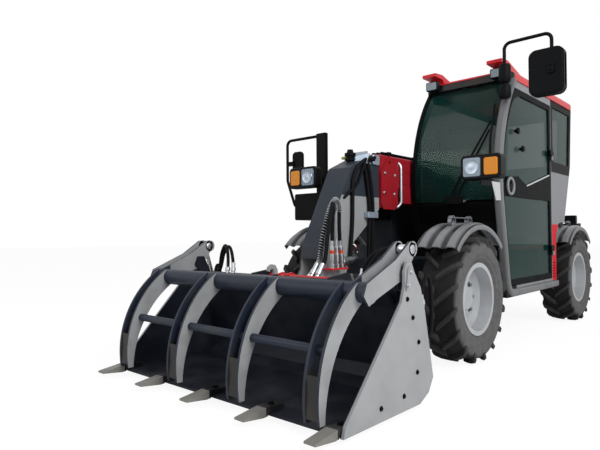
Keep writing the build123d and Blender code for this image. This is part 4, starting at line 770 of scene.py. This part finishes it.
# columns: kind, start and end from the inner side, height, how far proud, material
HEAD_FACES = (
    ("lens", 0.022, 0.152, 0.138, 0.008, head_lens), ("signal", 0.178, 0.278, 0.124, 0.007, amber_lens),
)
BOWL = [(0, 0.0065), (0.014, 0.0055), (0.034, 0.0035), (0.050, 0.0065), (0.053, 0.0)]
WORK_Y, TAIL_Y = (0.020, 0.600), (-0.520, 0.520)  # of the right and of the left lamp
BACK_ON = ((0, -1, 0), (0, 0, 1))  # the two directions of an outline that is pushed back
# columns: name, places in y, outline and corner radius, inner end and height, plane, depth, bevel, material
SMALL_LAMPS = (
    ("work_lamp", WORK_Y, (0.110, 0.080, 0.012), (-0.220, 2.195), FRONT_ON, 0.058, 0.006, lamp_black),
    ("work_lamp_lens", WORK_Y, (0.092, 0.066, 0.008), (-0.164, 2.195), FRONT_ON, 0.005, 0.0015, work_lens),
    ("tail_lamp", TAIL_Y, (0.120, 0.090, 0.012), (-2.392, 1.045), BACK_ON, 0.056, 0.005, lamp_black),
    ("tail_lamp_lens", TAIL_Y, (0.104, 0.074, 0.010), (-2.446, 1.045), BACK_ON, 0.008, 0.002, red_lens),
)
for name, front, inner, way, depth in HEAD_LAMPS:
    middle = (front - depth, inner + way * HEAD_SIZE[0] / 2, HEAD_Z)
    housing = slab(f"head_lamp_{name}", rectangle(*HEAD_SIZE, 0.032), middle, *FRONT_ON, depth, 0.010)
    fit(housing, "chassis", "lamp_plastic", lamp_black)
    for kind, start, end, height, proud, material in HEAD_FACES:
        place = (front - HEAD_SINK, inner + way * (start + end) / 2, HEAD_Z)
        outline = rectangle(end - start, height, 0.016)
        cover = slab(f"head_lamp_{kind}_{name}", outline, place, *FRONT_ON, HEAD_SINK + proud, 0.004)
        fit(cover, "chassis", "lamp_plastic", material)
    bowl = lathe(f"head_lamp_bowl_{name}", BOWL, (front + 0.006, inner + way * 0.087, HEAD_Z), (1, 0, 0))
    fit(bowl, "chassis", "lamp_plastic", reflector_silver)
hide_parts("lamps")
for kind, places, outline, (x, z), plane, depth, bevel, material in SMALL_LAMPS:
    for name, y in zip(("right", "left"), places):
        lamp = slab(f"{kind}_{name}", rectangle(*outline), (x, y, z), *plane, depth, bevel)
        fit(lamp, "chassis", "lamp_plastic", material)
for name, y in zip(("right", "left"), WORK_Y):
    foot = slab(f"work_lamp_foot_{name}", rectangle(0.040, 0.050), (-0.225, y, 2.140), *FLAT, 0.022, 0.003)
    fit(foot, "chassis", "black_paint", black_enamel)

# Mirrors: bent tube arms with moulded heads; plastic clamps hold the left arm to the pillar, and a
# light grey plate on the pillar carries the left head lamp.
# columns: name, middle of its back, size, corner radius, depth, bevel
MIRROR_HEADS = (
    ("left", (-0.094, 1.024, 2.0875), (0.252, 0.351), 0.058, 0.073, 0.022),
    ("right", (0.4165, -1.035, 1.555), (0.126, 0.221), 0.038, 0.036, 0.012),
)
CLAMP_R, CLAMPS = 0.046, ((1.998, 0.052), (2.140, 0.070))  # columns: middle and half height of each
CLAMP = np.array([(0, -1), (0.78, -1), (0.92, -0.86), (1, -0.6), (1, 0.7), (0.84, 1), (0, 1)])
GRIP_BOLTS = [(-0.006, 1.060, 2.085), (-0.006, 1.060, 2.125)]
LAMP_PLATE = [(0.214, 1.282), (-0.005, 1.282), (-0.001, 1.149), (0.134, 1.143)]
dress(black_plastic, "mirrors")
for name, middle, size, radius, depth, bevel in MIRROR_HEADS:
    shell = slab(f"mirror_head_{name}", rectangle(*size, radius), middle, *FRONT_ON, depth, bevel)
    fit(shell, "chassis", *PLASTIC)
for row, (z, half) in enumerate(CLAMPS):
    clamp = lathe(f"mirror_clamp_{row}", CLAMP * (CLAMP_R, half), (-0.050, 0.712, z), (0, 0, 1))
    fit(clamp, "chassis", *PLASTIC)
grip = slab("mirror_grip", rectangle(0.046, 0.080, 0.012), (-0.024, 1.060, 2.105), *FRONT_ON, 0.018, 0.004)
fit(grip, "chassis", *PLASTIC)
fit(studs("mirror_grip_bolts", GRIP_BOLTS, (1, 0, 0), 0.006, 0.006), "chassis", "black_paint", black_enamel)
lamp_plate = slab("head_lamp_plate", LAMP_PLATE, (0, 0.7075, 0), *SIDE_ON, 0.0055, 0.0015)
fit(lamp_plate, "chassis", "light_grey_paint", trim_enamel)

# Engine side: a tray and a lid of pressed steel beside the spine. The lid lifts on a hinge and is
# red enamel, with slots for the cooling air and a bar handle of black plastic.
HOOD_HANDLE = [(-0.85, -0.744, 0.765), (-0.85, -0.775, 0.765), (-0.62, -0.775, 0.765), (-0.62, -0.744, 0.765)]
red_enamel = enamel("red_enamel_on_steel", RED, "#7d5f56", roughness=0.34)
dress(red_enamel, "engine_hood")
fit(sweep("engine_hood_handle", rounded(HOOD_HANDLE, 0.02), circle(0.008), (0, 0, 1)), "hood", *PLASTIC)

# Tool box: a plain moulded box of black plastic over the right front wheel, which also carries
# the post of the right mirror and head lamp.
dress(black_plastic, "tool_box")

# Boom: the outer tube is a folded and welded box in red enamel with a plate bolted on at its mouth, skirts
# that guard the lift cylinder's hoses below, and hydraulic pipes along its top and beside its mouth.
MOUTH_Y = -0.076
MOUTH_BOLTS = ((0.446, 1.388), (0.297, 1.378), (0.461, 1.228), (0.309, 1.222))
SKIRT = [(-1.00, 1.300), (-1.00, 1.235), (-0.88, 1.152), (0.165, 1.152), (0.185, 1.172), (0.185, 1.300)]
BEAD_Y, BEAD_Z = -0.0895, (1.315, 1.426)
SIDE_PIPE = [(0.215, -0.110, 1.500), (0.200, -0.077, 1.470), (0.200, -0.077, 1.150), (0.230, -0.100, 1.118)]
REAR_END, FRONT_END = -1.45, 0.43  # of the pipes along the top
# The outer tube's red is darker than the hitch's and the hood's, though it is the same paint: painted shade.
boom_red_with_painted_shade = enamel("red_enamel_darkened_as_painted_shade", "#951a25", "#6d534c", roughness=0.34)
dress(boom_red_with_painted_shade, "boom_outer")
bolts = studs("boom_mouth_bolts", [(x, MOUTH_Y, z) for x, z in MOUTH_BOLTS], (0, 1, 0), 0.010, 0.011)
fit(bolts, "boom", "cast_iron", zinc)
for name, y in (("left", -0.0845), ("right", -0.310)):
    fit(slab(f"boom_skirt_{name}", SKIRT, (0, y, 0), *SIDE_ON, 0.0055, 0.001), "boom", "red_paint", boom_red_with_painted_shade)
for row, z in enumerate(BEAD_Z):
    path = np.linspace((-1.0, BEAD_Y, z), (0.185, BEAD_Y, z), 60)
    fit(sweep(f"boom_weld_bead_{row}", path, circle(0.004, 8), (0, 0, 1)), "boom", "red_paint", boom_red_with_painted_shade)
pipe = sweep("boom_side_pipe", rounded(SIDE_PIPE, 0.03), circle(0.0135), (0, 1, 0.2))
fit(pipe, "boom", "rod_chrome", zinc)
for row, y in enumerate((-0.125, -0.165, -0.205)):
    ends = ((REAR_END, 1.530), (REAR_END, 1.556), (FRONT_END, 1.556), (FRONT_END, 1.530))
    path = rounded([(x, y, z) for x, z in ends], 0.02)
    fit(sweep(f"boom_top_pipe_{row}", path, circle(0.0125), (0, 1, 0)), "boom", "black_paint", black_enamel)
for row, x in enumerate(np.linspace(REAR_END + 0.1, FRONT_END - 0.1, 5)):
    saddle = slab(
        f"boom_pipe_saddle_{row}", rectangle(0.045, 0.135, 0.008), (x, -0.165, 1.539), *FLAT, 0.033, 0.004
    )
    fit(saddle, "boom", *PLASTIC)

# Boom head: the inner tube ends in a gooseneck of two side plates and a bent front plate, with a galvanised
# guard plate over the hose ends at its top. Its lower side faces are light grey as painted sunlight, its
# front faces and higher sides dark slate as painted shade.
LIGHT = "#959799"
# a face that looks left or right, which takes the painted sunlight
SUNLIT_SIDE_FACE = ("side", "GREATER_THAN", 0.7)
GUARD_PLATE = [(-0.185, 1.440), (-0.062, 1.440), (-0.028, 1.514), (-0.162, 1.506)]
GUARD_FOOT = [(-0.150, 1.440), (-0.062, 1.440), (-0.062, 1.448), (-0.150, 1.448)]
HOSE_JOINT = [
    (0, 0), (0.030, 0), (0.030, 0.022), (0.044, 0.026), (0.044, 0.044), (0.030, 0.048), (0.030, 0.058),
    (0.044, 0.062), (0.044, 0.084), (0.026, 0.090), (0.022, 0.112), (0, 0.114),
]
DUST_CAP = [(0, 0), (0.009, 0), (0.012, 0.010), (0.012, 0.040), (0.006, 0.050), (0, 0.051)]
head_enamel_with_painted_light = enamel("slate_enamel_with_painted_sunlit_sides", "#2c323c", "#6a675f", zones=(
    (LIGHT, (SUNLIT_SIDE_FACE, ("x", "GREATER_THAN", 0.45), ("z", "LESS_THAN", 1.185))),
    ("#9aa5b1", (("z", "GREATER_THAN", 1.5215),)),
))
dress(head_enamel_with_painted_light, "boom_inner")
galvanised = plated("galvanised_sheet_steel", "#aebccb", 0.38, metallic=0.6)
for piece in (
    slab("head_guard_plate", GUARD_PLATE, (0.720, 0, 0), *FRONT_ON, 0.006, 0.0015),
    slab("head_guard_foot", GUARD_FOOT, (0.660, 0, 0), *FRONT_ON, 0.062, 0.001),
    slab(
        "head_hose_clip", rectangle(0.088, 0.080, 0.012), (0.563, -0.0935, 1.482), (-1, 0, 0), (0, 0, 1),
        0.018, 0.004,
    ),
):
    fit(piece, "boom_head", "cast_iron", galvanised)
fit(lathe("head_hose_joint", HOSE_JOINT, (0.725, -0.215, 1.448), (0, 0, 1)), "boom_head", *PLASTIC)
cap = lathe("head_grease_cap", DUST_CAP, (0.725, -0.250, 1.500), (0, -1, 0))
fit(cap, "boom_head", "black_plastic", moulded("yellow_green_dust_cap", "#8f9a54"))

# Cylinders: honed steel barrels in black enamel, and ground rods plated with chrome,
# with a pin through the eye at either end.
chrome = plated("ground_chrome_plate", "#d8dadd", 0.14)
dress(black_enamel, "lift_barrel", "tilt_barrel", "grapple_barrel")
dress(chrome, "lift_rod", "tilt_rod", "grapple_rod")

# Hoses on the head: black rubber hydraulic hoses that come out at its top and run down its left plate,
# two of them held there by a galvanised clamp.
DOWN = np.array([
    (0.575, -0.085, 1.500), (0.690, -0.070, 1.470), (0.662, -0.074, 1.352), (0.632, -0.074, 1.200),
    (0.624, -0.074, 1.060), (0.634, -0.074, 0.900), (0.650, -0.070, 0.700), (0.700, -0.060, 0.560),
    (0.820, -0.062, 0.490), (0.930, -0.080, 0.505), (0.965, -0.106, 0.520),
])
FORWARD = (
    (0.590, -0.085, 1.480), (0.700, -0.066, 1.478), (0.800, -0.074, 1.420), (0.872, -0.076, 1.310),
    (0.884, -0.076, 1.170), (0.889, -0.076, 1.000), (0.900, -0.076, 0.895), (0.916, -0.074, 0.800),
    (0.930, -0.068, 0.735), (0.955, -0.066, 0.700),
)
CROSS = (
    (0.740, -0.066, 1.440), (0.790, -0.074, 1.330), (0.840, -0.076, 1.260), (0.925, -0.078, 1.205),
    (0.962, -0.086, 1.172), (0.976, -0.104, 1.160),
)
rubber_hose = moulded("black_hose_rubber", "#121214", roughness=0.6, grit=0.003)


def hose(name, points, radius, body, count=70):
    """A hose along a smooth path through points."""
    path = spline(points, count)
    ahead = np.abs(np.gradient(path, axis=0)).max(axis=0)
    piece = sweep(name, path, circle(radius), np.eye(3)[ahead.argmin()])
    return fit(piece, body, "black_plastic", rubber_hose)


for row, shift in enumerate((0.0, 0.046)):
    hose(f"head_hose_{row}", DOWN + (shift, 0, -0.3 * shift), 0.0145, "boom_head", count=110)
hold = slab("head_hose_clamp", rectangle(0.135, 0.046, 0.006), (0.650, -0.050, 1.043), *SIDE_ON, 0.042, 0.003)
fit(hold, "boom_head", "cast_iron", galvanised)
hose("head_hose_forward", FORWARD, 0.0150, "boom_head")
hose("head_hose_cross", CROSS, 0.0110, "boom_head", count=50)

# Hitch: the tool carrier, plates and tubes welded up in red enamel. Quick couplers on a bracket at the head's
# side feed two hoses that arch over to it, one of them in a spring guard.
BRACKET = [(1.035, 0.646), (1.225, 0.646), (1.225, 0.658), (1.035, 0.658)]
COUPLER_X, COUPLER_Y, COUPLER_Z = (1.075, 1.130, 1.187), -0.032, 0.656
COUPLER = [
    (0, 0), (0.018, 0), (0.018, 0.026), (0.013, 0.030), (0.013, 0.050), (0.0175, 0.054), (0.0175, 0.098),
    (0.0145, 0.102), (0.0145, 0.128), (0.0165, 0.130), (0.0165, 0.150), (0.0120, 0.156), (0.0120, 0.205),
    (0, 0.206),
]
BAND = np.array([(0.0155, 0.104), (0.0172, 0.106), (0.0172, 0.124), (0.0155, 0.126)])
BAND_DROP = 0.046  # of the middle band
VALVE = [
    (0, 0), (0.021, 0), (0.021, 0.016), (0.034, 0.020), (0.034, 0.058), (0.027, 0.062), (0.027, 0.112),
    (0.018, 0.118), (0.018, 0.150), (0, 0.152),
]
ELBOW = [
    (0, -0.030), (0.014, -0.030), (0.014, -0.010), (0.019, -0.006), (0.019, 0.026), (0.0155, 0.030),
    (0.0155, 0.078), (0, 0.080),
]
ARCHES = (
    ((1.100, -0.032, 0.850), (1.106, -0.032, 0.960), (1.112, -0.028, 1.085), (1.165, -0.012, 1.138),
     (1.245, 0.012, 1.100), (1.312, 0.028, 1.010), (1.372, 0.034, 0.863), (1.404, 0.034, 0.730),
     (1.440, 0.034, 0.680)),
    ((1.187, -0.032, 0.850), (1.186, -0.028, 0.960), (1.200, -0.012, 1.075), (1.255, 0.028, 1.105),
     (1.320, 0.064, 1.020), (1.374, 0.080, 0.870), (1.406, 0.084, 0.735), (1.442, 0.084, 0.682)),
)
ARCH_SIDE = (0.3, 1, 0)  # a direction that the arches never run along
COIL_TURNS, COIL_STEPS, COIL_START = 66, 1300, 280
COIL_R, WIRE_R = 0.0155, 0.0028


def bend(piece, material):
    """A piece with its material, its placing baked into its points, and put on no body."""
    piece.data.materials.append(material)
    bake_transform(piece)


dress(red_enamel, "hitch")
bracket = slab("coupler_bracket", BRACKET, (0, -0.005, 0), *SIDE_ON, 0.0885, 0.002)
fit(bracket, "boom_head", "red_paint", red_enamel)
for row, x in enumerate(COUPLER_X):
    stand = {"origin": (x, COUPLER_Y, COUPLER_Z), "axis": (0.12 - 0.06 * row, 0, 1), "columns": 20}
    fit(lathe(f"quick_coupler_{row}", COUPLER, **stand), "boom_head", "rod_chrome", zinc)
    band = lathe(f"quick_coupler_band_{row}", BAND - (0, BAND_DROP * (row % 2)), **stand)
    fit(band, "boom_head", "red_paint", orange_shell)
valve = lathe("head_check_valve", VALVE, (1.045, -0.058, 0.694), (-1, 0, 0.12), columns=20)
fit(valve, "boom_head", "rod_chrome", zinc)
arches = []
for row, points in enumerate(ARCHES):
    arch = sweep(f"tilt_hose_{row}", spline(points, 110), circle(0.0135), ARCH_SIDE)
    arches.append((arch, "black_plastic", rubber_hose))
    port = np.array((1.476, points[-1][1], 0.640))
    elbow = lathe(f"hitch_fitting_{row}", ELBOW, port, np.array(points[-2]) - port, columns=20)
    fit(elbow, "tool", "rod_chrome", zinc)
turn = np.linspace(0, COIL_TURNS * 2 * pi, COIL_STEPS)[COIL_START:, None]
run = spline(ARCHES[0], COIL_STEPS)[COIL_START:]
beside, across = along(run, ARCH_SIDE)
coil = run + COIL_R * (np.cos(turn) * across + np.sin(turn) * beside)
guard = sweep("tilt_hose_spring_guard", coil, circle(WIRE_R, 6), (0.31, 0.92, 0.24))
arches.append((guard, "rod_chrome", plated("bright_spring_steel", "#9ea2a6", 0.3)))
for piece, slot, material in arches:
    bend(piece, material)

# Bucket: bent and welded wear steel, hung on the hitch. Its sides are light grey with bolts along their
# edges, and the shell is dark and rubbed by its load.
SIDE_BOLTS = ((1.780, 0.571), (1.730, 0.474), (1.675, 0.344), (1.691, 0.194), (1.820, 0.102), (2.020, 0.090))
KEEPER_BOLTS = ((1.758, 0.705), (1.785, 0.640))
# columns: name, places, out, radius, height, material
BUCKET_BOLTS = (
    ("side", SIDE_BOLTS, 0.92, 0.009, 0.008, black_enamel),
    ("keeper", KEEPER_BOLTS, 0.93, 0.011, 0.010, zinc),
)
bucket_enamel = enamel("light_grey_and_slate_bucket_enamel", "#171b24", "#55565a", soil=0.45, zones=(
    (LIGHT, (("out", "GREATER_THAN", 0.905),)),
    (LIGHT, (("out", "LESS_THAN", 0.15), ("z", "GREATER_THAN", 0.640))),
))
dress(bucket_enamel, "bucket")
for name, side in (("left", 1), ("right", -1)):
    for kind, places, out, radius, height, material in BUCKET_BOLTS:
        centres = [(x, side * out, z) for x, z in places]
        heads = studs(f"bucket_{kind}_bolts_{name}", centres, (0, side, 0), radius, height)
        fit(heads, "tool", "cast_iron", material)

# Teeth: forged steel points bolted to the cutting edge, black at the shank and worn bright
# ahead of it.
TEETH_Y = (-0.866, -0.433, 0, 0.433, 0.866)
tooth_steel = enamel("black_shank_and_worn_steel_point", "#17181b", "#57544e", roughness=0.4, zones=(
    ("#7f7d78", (("x", "GREATER_THAN", 2.315),)),
))
dress(tooth_steel, "bucket_teeth")
bolts = studs("tooth_bolts", [(2.250, y, 0.0665) for y in TEETH_Y], (0, 0, 1), 0.013, 0.012)
fit(bolts, "tool", "tooth_steel", black_enamel)

# Grapple: four twin-plate tines welded to two tubes, and a cap closes each cylinder pin in the arms' round
# ends. The outer plate faces and the arms' sides are light grey as painted sunlight; the front edges and the
# faces between two plates are dark as painted shade.
TINE_ROWS = (-0.78, 0.52)  # first tine and step
ARM_PLATES = (0.788, 0.871)
ARM_END = [(0, 0), (0.040, 0), (0.040, 0.015), (0, 0.015)]
PIN_CAP = [(0, -0.004), (0.024, -0.004), (0.024, 0.003), (0.019, 0.006), (0, 0.006)]
# Faces that look left or right are painted sunlit light grey, the rest painted shade in dark slate; the faces
# between a tine's two plates stay dark as painted shadow.
grapple_enamel_with_painted_light = enamel(
    "grapple_enamel_with_painted_sunlit_sides_and_shade", "#232a38", "#4c4a46", roughness=0.36, rows=TINE_ROWS, zones=(
        (LIGHT, (SUNLIT_SIDE_FACE, ("row", "GREATER_THAN", 0.040))),
        (LIGHT, (SUNLIT_SIDE_FACE, ("out", "GREATER_THAN", 0.785), ("x", "LESS_THAN", 2.0))),
        ("#2b2a2a", (("z", "LESS_THAN", 0.285), ("row", "LESS_THAN", 0.033))),
    ),
)
dress(grapple_enamel_with_painted_light, "grapple")
for name, side in (("right", -1), ("left", 1)):
    for row, y in enumerate(ARM_PLATES):
        end = lathe(f"grapple_arm_end_{row}_{name}", ARM_END, (1.661, side * y, 0.817), (0, side, 0))
        fit(end, "grapple", "light_grey_paint", grapple_enamel_with_painted_light)
    for row, (y, way) in enumerate(((0.886, side), (0.788, -side))):
        cap = lathe(f"grapple_pin_cap_{row}_{name}", PIN_CAP, (1.670, side * y, 0.815), (0, way, 0))
        fit(cap, "grapple", "rod_chrome", zinc)

# Cylinder hoses: each grapple cylinder has a hose along its back, held to the barrel, and two that arch from
# fittings on the bucket's top edge to its upper port.
BACK = np.array([
    (1.558, 0.863, 0.548), (1.545, 0.874, 0.620), (1.515, 0.884, 0.668), (1.486, 0.887, 0.610),
    (1.477, 0.887, 0.470), (1.480, 0.880, 0.370), (1.497, 0.862, 0.320),
])
OVER = np.array([
    (1.655, 0.600, 0.640), (1.640, 0.612, 0.730), (1.610, 0.660, 0.800), (1.580, 0.720, 0.816),
    (1.560, 0.780, 0.760), (1.556, 0.806, 0.670), (1.572, 0.822, 0.590), (1.580, 0.828, 0.560),
])
SECOND_SHIFT = (0.004, 0.055, 0.012)  # from the first arch's foot to the second's
HOSE_R = 0.0115
BACK_FITTING = [
    (0, 0), (0.011, 0), (0.011, 0.014), (0.016, 0.017), (0.016, 0.040), (0.012, 0.043), (0.012, 0.070),
    (0, 0.072),
]
TOP_FITTING = [
    (0, 0), (0.013, 0), (0.013, 0.018), (0.017, 0.021), (0.017, 0.045), (0.013, 0.049), (0.013, 0.080),
    (0, 0.082),
]
for side, name in ((1, "left"), (-1, "right")):
    mirrored = np.array((1, side, 1))
    hose(f"grapple_cylinder_hose_{name}", BACK * mirrored, HOSE_R, "grapple_barrels")
    foot = (1.548, side * 0.874, 0.505)
    fitting = lathe(f"grapple_cylinder_fitting_{name}", BACK_FITTING, foot, (0.24, 0, 0.97), columns=18)
    fit(fitting, "grapple_barrels", "rod_chrome", zinc)
    for row in range(2):
        route = (OVER - row * np.linspace(1, 0, len(OVER))[:, None] * SECOND_SHIFT) * mirrored
        arch = sweep(f"bucket_top_hose_{row}_{name}", spline(route, 80), circle(HOSE_R), (0.4, 0.4, 0))
        start, end = (1.60, side * 0.64, 0.7), (1.57, side * 0.79, 0.7)
        bend(arch, rubber_hose)
        foot = (1.657 - row * SECOND_SHIFT[0], side * (0.600 - row * SECOND_SHIFT[1]), 0.622)
        lean = (-0.15, side * 0.1, 0.98)
        fitting = lathe(f"bucket_top_fitting_{row}_{name}", TOP_FITTING, foot, lean, columns=18)
        fit(fitting, "tool", "rod_chrome", zinc)
